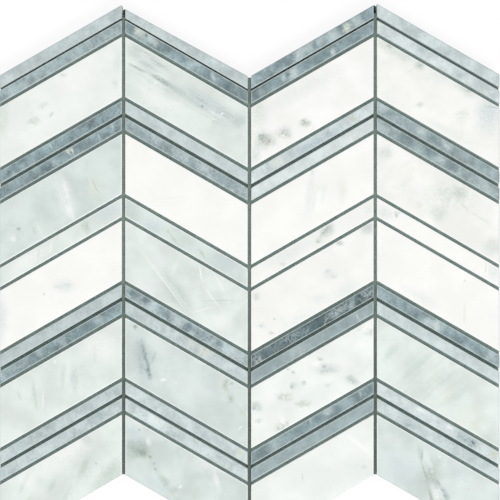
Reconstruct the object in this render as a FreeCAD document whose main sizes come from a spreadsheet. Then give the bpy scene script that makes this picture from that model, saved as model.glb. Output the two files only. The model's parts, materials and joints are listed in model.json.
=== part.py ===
import FreeCAD, Part
import math
import os

import Sketcher

# Chevron mosaic wall tile: one sheet of sawn marble pieces, held at open joints by a glass-mesh backing.
#
# Millimetres. +Z points out of the polished face, +Y up the wall and +X to the right.
# The origin is in the middle of the sheet's outline, on the back face.

# Driving dimensions. A piece's width is measured square to its two slanted edges, and so is a bed joint.
SIZES = {
    "chevron_angle": 30.0,
    "piece_length": 74.2,
    "field_width": 31.6,
    "strip_width": 6.8,
    "accent_width": 10.0,
    "tapered_end": 4.9,
    "stone_thickness": 9.5,
    "arris": 0.4,
    "bed_joint": 1.9,
    "column_joint": 2.0,
    "first_top_joint": 1.2,
    "second_top_joint": 0.9,
    "third_top_joint": 1.1,
    "fourth_top_joint": 1.8,
    "backing_thickness": 0.8,
    "backing_margin": 2.0,
    "backing_trim": 4.5,
}

# The pieces of a column, from the top of the sheet down.
ROWS = (
    "grey_strip", "grey_strip", "white_field",
    "grey_strip", "grey_strip", "white_field",
    "white_accent", "white_field",
    "grey_strip", "grey_strip", "white_field",
    "grey_strip", "grey_strip", "white_field",
)
WIDTHS = {"grey_strip": "strip_width", "white_field": "field_width", "white_accent": "accent_width"}

# The joint under the top strip was set by hand and differs from column to column.
TOP_JOINTS = ("first_top_joint", "second_top_joint", "third_top_joint", "fourth_top_joint")

# The column and row, from 0, of the one strip that was cut narrower towards the peak of the chevron.
TAPERED = (1, 0)


def size(name):
    """A driving dimension, as an expression names it."""
    return f"<<sizes>>.{name}"


ANGLE = size("chevron_angle")
PITCH = f"({size('piece_length')} + {size('column_joint')})"
RISE = f"({size('piece_length')} * tan({ANGLE}))"
HALF_WIDTH = f"({len(TOP_JOINTS) / 2:g} * {PITCH} - {size('column_joint')} / 2)"


def pile(rows, top_joint=None):
    """The height up the wall of these rows with a joint over each but the last, as an expression.

    With top_joint the last joint is that one, and with none every joint is a bed joint.
    """
    widths = " + ".join(size(WIDTHS[row]) for row in rows)
    joints = len(rows) - 1
    if top_joint is None:
        return f"(({widths} + {joints} * {size('bed_joint')}) / cos({ANGLE}))"
    return f"(({widths} + {joints - 1} * {size('bed_joint')} + {top_joint}) / cos({ANGLE}))"


# The tallest column sets the outline, so that the sheet is centred on the origin.
ALL_TOP_JOINTS = "; ".join(size(name) for name in TOP_JOINTS)
COLUMN_HEIGHT = pile(ROWS, f"max({ALL_TOP_JOINTS})")
SHORTEST_COLUMN = pile(ROWS, f"min({ALL_TOP_JOINTS})")


def row_centre(row, top_joint):
    """The height of a piece's middle above the sheet's middle, as an expression. Row 0 is the top strip."""
    joint = size(top_joint) if row == 0 else None
    reach = pile(ROWS[row:], joint)
    half = f"{size(WIDTHS[ROWS[row]])} / 2 / cos({ANGLE})"
    return f"{reach} - {half} - {COLUMN_HEIGHT} / 2"


def make_sizes(doc):
    """The spreadsheet of driving dimensions, each a plain number with its own alias."""
    sheet = doc.addObject("Spreadsheet::Sheet", "sizes")
    for line, (name, value) in enumerate(SIZES.items(), start=1):
        sheet.set(f"A{line}", name)
        sheet.set(f"B{line}", str(value))
        sheet.setAlias(f"B{line}", name)
    doc.recompute()


def plane(body, role):
    """One of a body's own origin planes."""
    return next(feature for feature in body.Origin.OriginFeatures if feature.Role == role)


def flat_sketch(body):
    """An empty sketch on the body's own XY plane."""
    sketch = body.newObject("Sketcher::SketchObject", "outline")
    sketch.AttachmentSupport = [(plane(body, "XY_Plane"), "")]
    sketch.MapMode = "FlatFace"
    return sketch


def closed_loop(sketch, corners):
    """Draws straight edges through the corners in order and joins each to the next."""
    points = [FreeCAD.Vector(x, y, 0) for x, y in corners]
    following = points[1:] + points[:1]
    for start, end in zip(points, following):
        sketch.addGeometry(Part.LineSegment(start, end), False)
    for edge in range(len(points)):
        sketch.addConstraint(Sketcher.Constraint("Coincident", edge, 2, (edge + 1) % len(points), 1))


def bind(sketch, name, expression, *constraint):
    """Adds a dimension to a sketch under its own name and ties its value to an expression."""
    index = sketch.addConstraint(Sketcher.Constraint(*constraint))
    sketch.renameConstraint(index, name)
    sketch.setExpression(f"Constraints.{name}", expression)


def pad(body, sketch, thickness):
    """The sketch raised along +Z to a driving dimension."""
    feature = body.newObject("PartDesign::Pad", "slab")
    feature.Profile = sketch
    feature.setExpression("Length", size(thickness))
    sketch.Visibility = False
    return feature


def corners_of(width, rises):
    """The corners of a parallelogram piece about its own middle, from the lower left and anticlockwise."""
    angle = math.radians(SIZES["chevron_angle"])
    half_length = SIZES["piece_length"] / 2
    half_rise = half_length * math.tan(angle)
    half_height = width / 2 / math.cos(angle)
    if not rises:
        half_rise = -half_rise
    return [
        (-half_length, -half_height - half_rise),
        (half_length, -half_height + half_rise),
        (half_length, half_height + half_rise),
        (-half_length, half_height - half_rise),
    ]


def draw_piece(sketch, width_name, rises, narrow_end=None):
    """A piece's outline: upright ends between two slanted edges.

    The lower edge always lies at the chevron angle. So does the upper one, unless the piece has a narrow end:
    then it falls short at the left, and the right end keeps the full width.
    """
    closed_loop(sketch, corners_of(SIZES[width_name], rises))
    lower, right, upper, left = range(4)
    sketch.addConstraint(Sketcher.Constraint("Vertical", right))
    sketch.addConstraint(Sketcher.Constraint("Vertical", left))
    up = 1 if rises else -1
    length = size("piece_length")
    right_end = f"{size(width_name)} / cos({ANGLE})"
    left_end = right_end if narrow_end is None else f"{size(narrow_end)} / cos({ANGLE})"
    start_x, start_y = corners_of(SIZES[width_name], rises)[0]
    bind(sketch, "across", f"-{length} / 2", "DistanceX", -1, 1, lower, 1, start_x)
    bind(sketch, "down", f"-({right_end} + {up} * {RISE}) / 2", "DistanceY", -1, 1, lower, 1, start_y)
    bind(sketch, "length", length, "DistanceX", lower, 1, lower, 2, -2 * start_x)
    bind(sketch, "rise", f"{up} * {RISE}", "DistanceY", lower, 1, lower, 2, up * SIZES["piece_length"] / 2)
    bind(sketch, "right_end", right_end, "DistanceY", right, 1, right, 2, SIZES[width_name])
    bind(sketch, "left_end", left_end, "DistanceY", left, 2, left, 1, SIZES[width_name])


def make_stone(doc, column, row):
    """One sawn piece of marble, as a slab set on the backing at its place in the sheet."""
    kind = ROWS[row]
    label = f"{kind}_c{column + 1}_r{row + 1:02d}"
    body = doc.addObject("PartDesign::Body", label)
    body.Label = label
    sketch = flat_sketch(body)
    rises = column % 2 == 0
    draw_piece(sketch, WIDTHS[kind], rises, "tapered_end" if (column, row) == TAPERED else None)
    pad(body, sketch, "stone_thickness")
    from_middle = column - (len(TOP_JOINTS) - 1) / 2
    body.setExpression(".Placement.Base.x", f"{from_middle:g} * {PITCH}")
    body.setExpression(".Placement.Base.y", row_centre(row, TOP_JOINTS[column]))
    body.setExpression(".Placement.Base.z", size("backing_thickness"))
    return body


def ease_arrises(body):
    """Chamfers the sharp edges round a piece's polished face."""
    slab = body.Tip
    faces = slab.Shape.Faces
    top = max(range(len(faces)), key=lambda index: faces[index].CenterOfMass.z)
    chamfer = body.newObject("PartDesign::Chamfer", "arrises")
    chamfer.Base = (slab, [f"Face{top + 1}"])
    chamfer.setExpression("Size", size("arris"))
    slab.Visibility = False


def make_stones(doc):
    """Every piece of the sheet, column by column. The columns rise and fall in turn."""
    stones = [make_stone(doc, column, row) for column in range(len(TOP_JOINTS)) for row in range(len(ROWS))]
    doc.recompute()
    for stone in stones:
        ease_arrises(stone)
    return stones


def backing_corners():
    """The right half of the backing's outline, from the bottom middle round to the top middle.

    Each corner is a pair of expressions. The edges lie a margin inside the shortest column, the points are cut
    off square, and in each notch the mesh runs straight across the end of the column joint.
    """
    tangent = f"tan({ANGLE})"
    inset = f"({size('backing_margin')} / cos({ANGLE}))"
    half_joint = f"({size('column_joint')} / 2)"
    side = f"({HALF_WIDTH} - {size('backing_margin')})"
    # Half the blunt end of a trimmed point, and half the straight run across a notch.
    point = f"({half_joint} + ({size('backing_trim')} - {inset}) / {tangent})"
    notch = f"({half_joint} + {inset} / {tangent})"
    bottom_tip = f"(-{COLUMN_HEIGHT} / 2 - {RISE} / 2 + {size('backing_trim')})"
    bottom_notch = f"(-{COLUMN_HEIGHT} / 2 + {RISE} / 2)"
    top = f"({SHORTEST_COLUMN} - {COLUMN_HEIGHT} / 2)"
    top_tip = f"({top} + {RISE} / 2 - {size('backing_trim')})"
    top_notch = f"({top} - {RISE} / 2)"
    top_side = f"({top_notch} + {size('backing_margin')} * {tangent} - {inset})"
    return [
        ("0", bottom_tip),
        (point, bottom_tip),
        (f"{PITCH} - {notch}", bottom_notch),
        (f"{PITCH} + {notch}", bottom_notch),
        (f"2 * {PITCH} - {point}", bottom_tip),
        (side, bottom_tip),
        (side, top_side),
        (f"{PITCH} + {point}", top_tip),
        (f"{PITCH} - {point}", top_tip),
        (notch, top_notch),
        ("0", top_notch),
    ]


def make_backing(doc):
    """The glass mesh in its adhesive, as one thin sheet cut to follow the stones."""
    body = doc.addObject("PartDesign::Body", "mesh_backing")
    body.Label = "mesh_backing"
    places = backing_corners()
    corners = [(float(body.evalExpression(x)), float(body.evalExpression(y))) for x, y in places]
    sketch = flat_sketch(body)
    closed_loop(sketch, corners)
    for edge, (x, y) in enumerate(places):
        bind(sketch, f"across_{edge}", x, "DistanceX", -1, 1, edge, 1, corners[edge][0])
        bind(sketch, f"up_{edge}", y, "DistanceY", -1, 1, edge, 1, corners[edge][1])
    half = pad(body, sketch, "backing_thickness")
    doc.recompute()
    mirrored = body.newObject("PartDesign::Mirrored", "both_halves")
    mirrored.Originals = [half]
    mirrored.MirrorPlane = (plane(body, "YZ_Plane"), [""])
    body.Tip = mirrored
    return body


def check(doc, pieces):
    """Stops the build if any object failed, or if a piece's shape is missing or not valid."""
    for item in doc.Objects:
        if "Invalid" in item.State or "Error" in item.State:
            raise RuntimeError(f"{item.Label} failed: {item.State}")
    for piece in pieces:
        if piece.Shape.isNull() or not piece.Shape.isValid():
            raise RuntimeError(f"{piece.Label} has no valid shape")


def main():
    """Builds the sheet and writes each piece to its own file."""
    doc = FreeCAD.newDocument("chevron_mosaic_tile")
    make_sizes(doc)
    pieces = make_stones(doc) + [make_backing(doc)]
    doc.recompute()
    check(doc, pieces)
    os.makedirs("parts", exist_ok=True)
    for piece in pieces:
        piece.Shape.exportStep(f"parts/{piece.Label}.step")
    print(f"{len(pieces)} pieces written")


main()
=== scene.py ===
"""Looks of a chevron wall tile: its marble dressed and its glass mesh laid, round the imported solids.

Lengths are metres where they name a size of the tile, and millimetres inside the marble's patterns.
"""

import json
import logging
import math
from collections.abc import Callable, Iterator
from contextlib import contextmanager
from dataclasses import dataclass
from enum import Enum

import bmesh
import bpy
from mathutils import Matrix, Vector

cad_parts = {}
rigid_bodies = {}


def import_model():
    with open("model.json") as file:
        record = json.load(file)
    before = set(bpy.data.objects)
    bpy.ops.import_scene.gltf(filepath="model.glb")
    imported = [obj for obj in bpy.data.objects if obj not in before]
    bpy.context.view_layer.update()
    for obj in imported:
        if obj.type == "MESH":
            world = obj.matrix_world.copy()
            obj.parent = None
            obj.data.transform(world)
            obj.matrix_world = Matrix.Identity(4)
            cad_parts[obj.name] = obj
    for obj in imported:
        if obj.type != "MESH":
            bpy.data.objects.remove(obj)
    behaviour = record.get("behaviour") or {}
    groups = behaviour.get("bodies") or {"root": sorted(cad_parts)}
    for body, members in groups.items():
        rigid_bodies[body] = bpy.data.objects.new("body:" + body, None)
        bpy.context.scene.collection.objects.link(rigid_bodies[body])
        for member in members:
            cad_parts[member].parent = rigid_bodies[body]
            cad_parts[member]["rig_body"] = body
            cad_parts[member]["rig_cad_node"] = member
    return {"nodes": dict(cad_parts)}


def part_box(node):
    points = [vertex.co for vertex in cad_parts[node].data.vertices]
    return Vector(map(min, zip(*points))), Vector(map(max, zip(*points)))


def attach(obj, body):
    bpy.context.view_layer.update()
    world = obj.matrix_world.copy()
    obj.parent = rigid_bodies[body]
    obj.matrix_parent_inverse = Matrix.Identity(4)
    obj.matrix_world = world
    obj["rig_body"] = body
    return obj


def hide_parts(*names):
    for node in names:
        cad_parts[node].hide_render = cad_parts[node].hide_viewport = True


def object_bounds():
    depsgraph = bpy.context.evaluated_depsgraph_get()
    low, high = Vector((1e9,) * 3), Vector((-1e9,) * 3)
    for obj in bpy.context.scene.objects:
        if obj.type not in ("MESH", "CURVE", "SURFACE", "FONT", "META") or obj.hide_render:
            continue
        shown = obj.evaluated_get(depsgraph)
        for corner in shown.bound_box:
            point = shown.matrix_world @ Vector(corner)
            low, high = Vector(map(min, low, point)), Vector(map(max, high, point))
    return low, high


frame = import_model()
CAD_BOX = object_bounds()

LOG = logging.getLogger("chevron_tile")

MM = 0.001
PER_METRE = 1 / MM
#: Points closer than this touch.
TOUCHING = 0.01 * MM
X, Y, Z = range(3)
#: An edge sharper than this many degrees is kept, and a face that points an axis' way has this much of it.
SHARP = 40.0
SQUARE = 0.9
#: How many rows of small faces a slanted block has at least, less one.
LEAST_CUTS = 3
#: How many finer layers an uneven surface has.
FINER_LAYERS = 2
COLUMNS = 4
ROWS = 14
#: How far the columns stand apart, and how steeply their stones slant.
PITCH = 76.2 * MM
CHEVRON = math.radians(30)
SLOPE = math.tan(CHEVRON)
#: The strip that gets narrower towards the peak, and the width of its other end.
TAPERED_STRIP = "grey_strip_c2_r01"
STRIP_WIDTH = 6.8 * MM
#: How far short of the stones' points the mesh is cut off square.
MESH_TRIM = 4.5 * MM
BACKING = "mesh_backing"
BODY = "root"
#: The curve from a screen's values to light: a straight toe up to the knee, and a power above it.
SCREEN_KNEE = 0.04045
SCREEN_TOE = 12.92
SCREEN_OFFSET = 0.055
SCREEN_POWER = 2.4

Place = tuple[float, float]
Colour = tuple[float, float, float, float]


def linear(code: int) -> Colour:
    """A colour written as on screen, in the light values that sockets hold.

    Args:
        code: Red, green and blue as six hexadecimal digits.

    Returns:
        The colour's light values, and an alpha of one.
    """
    channels = [(code >> shift & 0xFF) / 0xFF for shift in (16, 8, 0)]
    red, green, blue = (
        part / SCREEN_TOE if part <= SCREEN_KNEE
        else ((part + SCREEN_OFFSET) / (1 + SCREEN_OFFSET)) ** SCREEN_POWER
        for part in channels
    )
    return (red, green, blue, 1.0)


def scaled(colour: Colour, factor: float) -> Colour:
    """A colour made darker or lighter, and never past white."""
    red, green, blue = (min(part * factor, 1.0) for part in colour[:3])
    return (red, green, blue, 1.0)


class Tone(Enum):
    """The colour that a whole stone has between its veins."""

    CHARCOAL = 0x2E4B50
    STORM = 0x899DA1
    FLINT = 0x92A6AA
    ASH = 0x9CADAF
    CINDER = 0xA7B7BA
    DOVE = 0xBFCBCC
    GULL = 0xC5D1D2
    PEARL = 0xCBD7D7
    OPAL = 0xD3DEDE
    SHELL = 0xD9E3E2
    SEA_MIST = 0xD6E1DE
    MILK = 0xE3EBE7
    CHALK = 0xF0F5F1
    IVORY = 0xF7F8F4
    PURE = 0xFBFBF8


class Tint(Enum):
    """The colours of the veins, clouds and specks in the stone."""

    INK = 0x486268
    SLATE = 0x6C8286
    STEEL = 0x8A9CA0
    PEWTER = 0xA8B7BA
    BLUE = 0xB0C0C8
    SMOKE = 0xA0B1AD
    SILVER = 0xCDD8D8
    HAZE = 0xCEDBDD
    JADE = 0xCEDCD4
    MOSS = 0xC4D1C6
    MIST = 0xE4EBE8
    FROST = 0xECF2F0
    CREAM = 0xE4EADD
    OCHRE = 0xCFD0A8
    OLIVE = 0x8A957F
    SNOW = 0xFDFDFB


class Fall(Enum):
    """Which way a column of stones runs, seen from the front."""

    RISING = 1
    FALLING = -1


@dataclass
class Field:
    """A value that varies over a surface: one output socket, with its sums written in Python."""

    paint: "Paint"
    socket: bpy.types.NodeSocket

    def __add__(self, other: "Field | float") -> "Field":
        """This value and another one together."""
        return self.paint.maths("ADD", self, other)

    def __radd__(self, other: float) -> "Field":
        """A number and this value together."""
        return self.paint.maths("ADD", other, self)

    def __sub__(self, other: "Field | float") -> "Field":
        """This value less another one."""
        return self.paint.maths("SUBTRACT", self, other)

    def __rsub__(self, other: float) -> "Field":
        """A number less this value."""
        return self.paint.maths("SUBTRACT", other, self)

    def __mul__(self, other: "Field | float") -> "Field":
        """This value times another one."""
        return self.paint.maths("MULTIPLY", self, other)

    def __rmul__(self, other: float) -> "Field":
        """A number times this value."""
        return self.paint.maths("MULTIPLY", other, self)


class Paint:
    """The nodes of one material or world, each made by one call."""

    def __init__(self, owner: bpy.types.Material | bpy.types.World) -> None:
        """Clears the owner's nodes.

        Args:
            owner: The material or world that the nodes belong to.
        """
        owner.use_nodes = True
        self.owner = owner
        self.tree = owner.node_tree
        self.tree.nodes.clear()

    def node(
        self, kind: str, settings: dict[str, object], sockets: dict[str, object], output: str = ""
    ) -> Field:
        """Adds one node.

        Args:
            kind: The node's type.
            settings: The node's own settings, set before its sockets.
            sockets: What each input takes, by the input's identifier: a value or another node's output.
            output: The identifier of the output that is wanted, or nothing for the first one.

        Returns:
            The output that is wanted.
        """
        made = self.tree.nodes.new(kind)
        for name, value in settings.items():
            setattr(made, name, value)
        for name, value in sockets.items():
            entry = next(socket for socket in made.inputs if socket.identifier == name)
            if isinstance(value, Field):
                self.tree.links.new(value.socket, entry)
            else:
                entry.default_value = value
        outlets = [socket for socket in made.outputs if socket.enabled]
        return Field(self, next((socket for socket in outlets if output in ("", socket.identifier)), None))

    def maths(self, operation: str, first: Field | float, second: Field | float = 0.0) -> Field:
        """One sum on two values."""
        return self.node("ShaderNodeMath", {"operation": operation}, {"Value": first, "Value_001": second})

    def objects(self) -> Field:
        """The place on the piece, in metres."""
        return self.node("ShaderNodeTexCoord", {}, {}, "Object")

    def mapped(self, place: Field, **sockets: object) -> Field:
        """A place moved, turned or stretched; a socket's name is given with a capital."""
        return self.node("ShaderNodeMapping", {"vector_type": "POINT"}, {"Vector": place, **sockets})

    def parts(self, place: Field) -> tuple[Field, Field, Field]:
        """Splits a place.

        Args:
            place: The place.

        Returns:
            Its three numbers.
        """
        split = self.node("ShaderNodeSeparateXYZ", {}, {"Vector": place}, "X")
        outlets = split.socket.node.outputs
        return split, Field(self, outlets["Y"]), Field(self, outlets["Z"])

    def noise(
        self, place: Field, grain: float, detail: float = 3.0, rough: float = 0.55, output: str = "Fac"
    ) -> Field:
        """Cloudy variation.

        Args:
            place: Where it is read.
            grain: The size of its largest clouds, in the place's own unit.
            detail: How many finer layers it has.
            rough: How strong the finer layers are.
            output: Fac for one number, or Color for three.

        Returns:
            The variation, about one half on average.
        """
        sockets = {"Vector": place, "Scale": 1.0 / grain, "Detail": detail, "Roughness": rough}
        return self.node("ShaderNodeTexNoise", {}, sockets, output)

    def step(self, value: Field, start: float, end: float, low: float = 0.0, high: float = 1.0) -> Field:
        """A soft step from low to high while a value goes from start to end, either way."""
        sockets = {"Value": value, "From Min": start, "From Max": end, "To Min": low, "To Max": high}
        return self.node("ShaderNodeMapRange", {"interpolation_type": "SMOOTHSTEP"}, sockets)

    def blend(self, under: "Field | Colour", over: "Field | Colour", share: "Field | float") -> Field:
        """One colour laid over another one by a share."""
        sockets = {"Factor_Float": share, "A_Color": under, "B_Color": over}
        return self.node("ShaderNodeMix", {"data_type": "RGBA"}, sockets, "Result_Color")

    def bump(self, height: Field, depth: float, strength: float) -> Field:
        """Fine relief, as a tilt of the surface."""
        return self.node("ShaderNodeBump", {}, {"Height": height, "Distance": depth, "Strength": strength})

    def surface(self, **sockets: object) -> bpy.types.Material:
        """Ends the material with its shader.

        Args:
            sockets: What each input takes, with an underscore for each space in its name.

        Returns:
            The finished material.
        """
        named = {name.replace("_", " "): value for name, value in sockets.items()}
        shader = self.node("ShaderNodeBsdfPrincipled", {}, named)
        self.node("ShaderNodeOutputMaterial", {}, {"Surface": shader})
        return self.owner


@dataclass(frozen=True)
class Outline:
    """One stone seen from the front, and how thick it is, in metres.

    The foot is the height of the stone's lower edge at the middle of its length.
    """

    middle: float
    foot: float
    length: float
    left_height: float
    right_height: float
    fall: Fall
    bottom: float
    top: float
    outside: frozenset[str] = frozenset()

    @classmethod
    def of_node(cls, node: str) -> "Outline":
        """Reads a stone's outline from its solid.

        Args:
            node: The name of the stone's node, which holds its column.

        Returns:
            The outline.
        """
        low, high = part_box(node)
        column = int(node.split("_c")[1][0])
        fall = Fall.RISING if column % 2 else Fall.FALLING
        length = high.x - low.x
        rise = length * SLOPE
        upper = high.y - low.y - rise
        lower = STRIP_WIDTH / math.cos(CHEVRON) if node == TAPERED_STRIP else upper
        left, right = (lower, upper) if fall is Fall.RISING else (upper, lower)
        row = int(node[-2:])
        sides = {"left": column == 1, "right": column == COLUMNS, "top": row == 1, "bottom": row == ROWS}
        outside = frozenset(side for side, is_outside in sides.items() if is_outside)
        middle, foot = (low.x + high.x) / 2, low.y + rise / 2
        return cls(middle, foot, length, left, right, fall, low.z, high.z, outside)

    @property
    def full_height(self) -> float:
        """The height of the stone's wider end, straight up."""
        return max(self.left_height, self.right_height)

    @property
    def centre(self) -> Vector:
        """The middle of the polished face, from which veins are placed."""
        return Vector((self.middle, self.foot + self.full_height / 2, self.top))


class Veining:
    """The places on one stone as its pattern reads them, in millimetres from the middle of its face."""

    #: The size of the slow bends that veins follow, of the ragged edges of clouds, and of the grit in them.
    SWIRL = 7.0
    RAGGED = 2.4
    GRIT = 1.2
    #: Where the grit begins and where it is whole, and how strong a mark is at each.
    GRIT_SPREAD = (0.36, 0.62)
    GRIT_STRENGTH = (0.6, 1.1)
    #: How far a mark strays slowly and how far its edge is frayed, for a broad, a small and a crisp one.
    BROAD = (1.2, 1.5)
    SMALL = (0.6, 0.8)
    CRISP = (0.0, 0.6)
    #: How far a mark reaches into the stone, which is right through it.
    THROUGH = 500.0

    def __init__(self, paint: Paint, place: Field, seed: Field, fall: Fall) -> None:
        """Makes the variations that all the marks of a stone share.

        Args:
            paint: The material's nodes.
            place: The place, from the middle of the face.
            seed: The same place moved, so that no two stones vary alike.
            fall: Which way the stone runs.
        """
        self.paint = paint
        self.place = place
        self.slope = fall.value * CHEVRON
        self.swirl = paint.noise(seed, self.SWIRL, rough=0.5, output="Color")
        self.ragged = paint.noise(seed, self.RAGGED, rough=0.5, output="Color")
        grit = paint.noise(seed, self.GRIT, rough=0.6)
        self.grit = paint.step(grit, *self.GRIT_SPREAD, *self.GRIT_STRENGTH)
        self.bent: dict[tuple[float, float], Field] = {}

    def moved(self, place: Field, by: Field, reach: float) -> Field:
        """A place pushed about by a variation, by up to a given distance."""
        sockets = {"Vector": by, "Vector_001": (2 * reach, 2 * reach, 0.0), "Vector_002": place}
        return self.paint.node("ShaderNodeVectorMath", {"operation": "MULTIPLY_ADD"}, sockets)

    def turned(self, turn: float | None) -> float:
        """A mark's turn in radians, given in degrees, or the stone's own where none is given."""
        return self.slope if turn is None else math.radians(turn)

    def bending(self, wander: float, fray: float) -> Field:
        """The place bent slowly and frayed, made once for all the marks that stray alike.

        Args:
            wander: How far it is bent.
            fray: How far it is frayed.

        Returns:
            The place as a mark reads it.
        """
        if (wander, fray) not in self.bent:
            if (wander, 0.0) not in self.bent:
                self.bent[wander, 0.0] = self.moved(self.place, self.swirl, wander)
            self.bent[wander, fray] = self.moved(self.bent[wander, 0.0], self.ragged, fray)
        return self.bent[wander, fray]

    def patch(
        self, place: Place, reach: Place, turn: float | None, bend: Place, edge: float, strength: float
    ) -> Field:
        """A turned oval that is ragged and gritty, and fades out at its edge.

        Args:
            place: The middle of the oval.
            reach: Half its length and half its width.
            turn: How far it is turned, in degrees, or nothing where it lies along the stone.
            bend: How far it strays slowly, and how far its edge is frayed.
            edge: The part of its reach inside which it is whole.
            strength: How strong it is where it is whole.

        Returns:
            The oval's strength at each place.
        """
        sockets = {
            "Vector": self.bending(*bend),
            "Location": (place[0] + sum(bend), place[1] + sum(bend), 0.0),
            "Rotation": (0.0, 0.0, self.turned(turn)),
            "Scale": (*reach, self.THROUGH),
        }
        inside = self.paint.node("ShaderNodeMapping", {"vector_type": "TEXTURE"}, sockets)
        away = self.paint.node("ShaderNodeVectorMath", {"operation": "LENGTH"}, {"Vector": inside}, "Value")
        return self.grit * self.paint.step(away, 1.0, edge, 0.0, strength)


@dataclass(frozen=True)
class Cloud:
    """A soft patch, by its middle and half sizes in millimetres.

    Its turn is in degrees, and it lies along the stone where none is given.
    """

    place: Place
    reach: Place
    tint: Tint
    strength: float
    turn: float | None = None

    #: The half width from which a cloud is a broad one, and the part of its reach inside which it is whole.
    BROAD_FROM = 3.0
    WHOLE = 0.1

    def mask(self, veining: Veining) -> Field:
        """How strong the cloud is at each place."""
        bend = veining.BROAD if min(self.reach) >= self.BROAD_FROM else veining.SMALL
        return veining.patch(self.place, self.reach, self.turn, bend, self.WHOLE, self.strength)


@dataclass(frozen=True)
class Speck(Cloud):
    """A small crisp spot."""

    def mask(self, veining: Veining) -> Field:
        """How strong the spot is at each place."""
        return veining.patch(self.place, self.reach, self.turn, veining.CRISP, 0.0, self.strength)


@dataclass(frozen=True)
class Vein:
    """A vein from one place to another, with half its width and how far it strays from straight."""

    start: Place
    end: Place
    width: float
    tint: Tint
    strength: float
    wander: float = 0.6

    #: How much longer a vein is with its ends, where it fades out, and the part of its reach that is whole.
    FADING = 1.15
    WHOLE = 0.2
    #: The half width from which a vein's edge frays as a cloud's does, and how far a finer one's frays.
    BROAD_FROM = 1.5
    FINE_FRAY = 0.25

    def mask(self, veining: Veining) -> Field:
        """How strong the vein is at each place.

        Args:
            veining: The places on the stone.

        Returns:
            The strength.
        """
        along, across = self.end[0] - self.start[0], self.end[1] - self.start[1]
        middle = (self.start[0] + along / 2, self.start[1] + across / 2)
        reach = (math.hypot(along, across) / 2 * self.FADING, self.width)
        fray = veining.SMALL[1] if self.width >= self.BROAD_FROM else self.FINE_FRAY
        turn = math.degrees(math.atan2(across, along))
        return veining.patch(middle, reach, turn, (self.wander, fray), self.WHOLE, self.strength)


@dataclass(frozen=True)
class Flecks:
    """A patch of fine broken flecks, with the size of one fleck."""

    place: Place
    reach: Place
    tint: Tint
    strength: float
    grain: float
    turn: float | None = None

    #: How much larger than a fleck the pattern is whose ridges the flecks follow, and how wide a ridge is.
    COARSE = 4.0
    RIDGE = 0.12
    #: How much of the flecks' strength lies between them.
    BETWEEN = 0.2

    def mask(self, veining: Veining) -> Field:
        """How strong the flecks are at each place.

        Args:
            veining: The places on the stone.

        Returns:
            The strength.
        """
        paint = veining.paint
        region = veining.patch(self.place, self.reach, self.turn, veining.BROAD, 0.0, self.strength)
        coarse = paint.noise(veining.place, self.grain * self.COARSE, detail=4.0, rough=0.6)
        ridges = paint.maths("ABSOLUTE", coarse - 0.5)
        return region * paint.step(ridges, self.RIDGE, 0.0, low=self.BETWEEN)


@dataclass(frozen=True)
class Lines(Flecks):
    """A patch of fine lines that run along its length."""

    #: How much longer the lines are than they are wide, and how much larger than one their pattern is.
    STRETCH = 9.0
    COARSE = 2.2
    #: Where a line begins and where it is whole, and the part of the patch's reach that is whole.
    SPREAD = (0.35, 0.7)
    WHOLE = 0.2

    def mask(self, veining: Veining) -> Field:
        """How strong the lines are at each place.

        Args:
            veining: The places on the stone.

        Returns:
            The strength.
        """
        paint = veining.paint
        region = veining.patch(self.place, self.reach, self.turn, veining.SMALL, self.WHOLE, self.strength)
        bent = veining.bending(veining.SMALL[0], 0.0)
        level = paint.mapped(bent, Rotation=(0.0, 0.0, -veining.turned(self.turn)))
        drawn = paint.mapped(level, Scale=(1 / self.STRETCH, 1.0, 1.0))
        return region * paint.step(paint.noise(drawn, self.grain * self.COARSE), *self.SPREAD)


Mark = Cloud | Speck | Vein | Flecks | Lines


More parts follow.
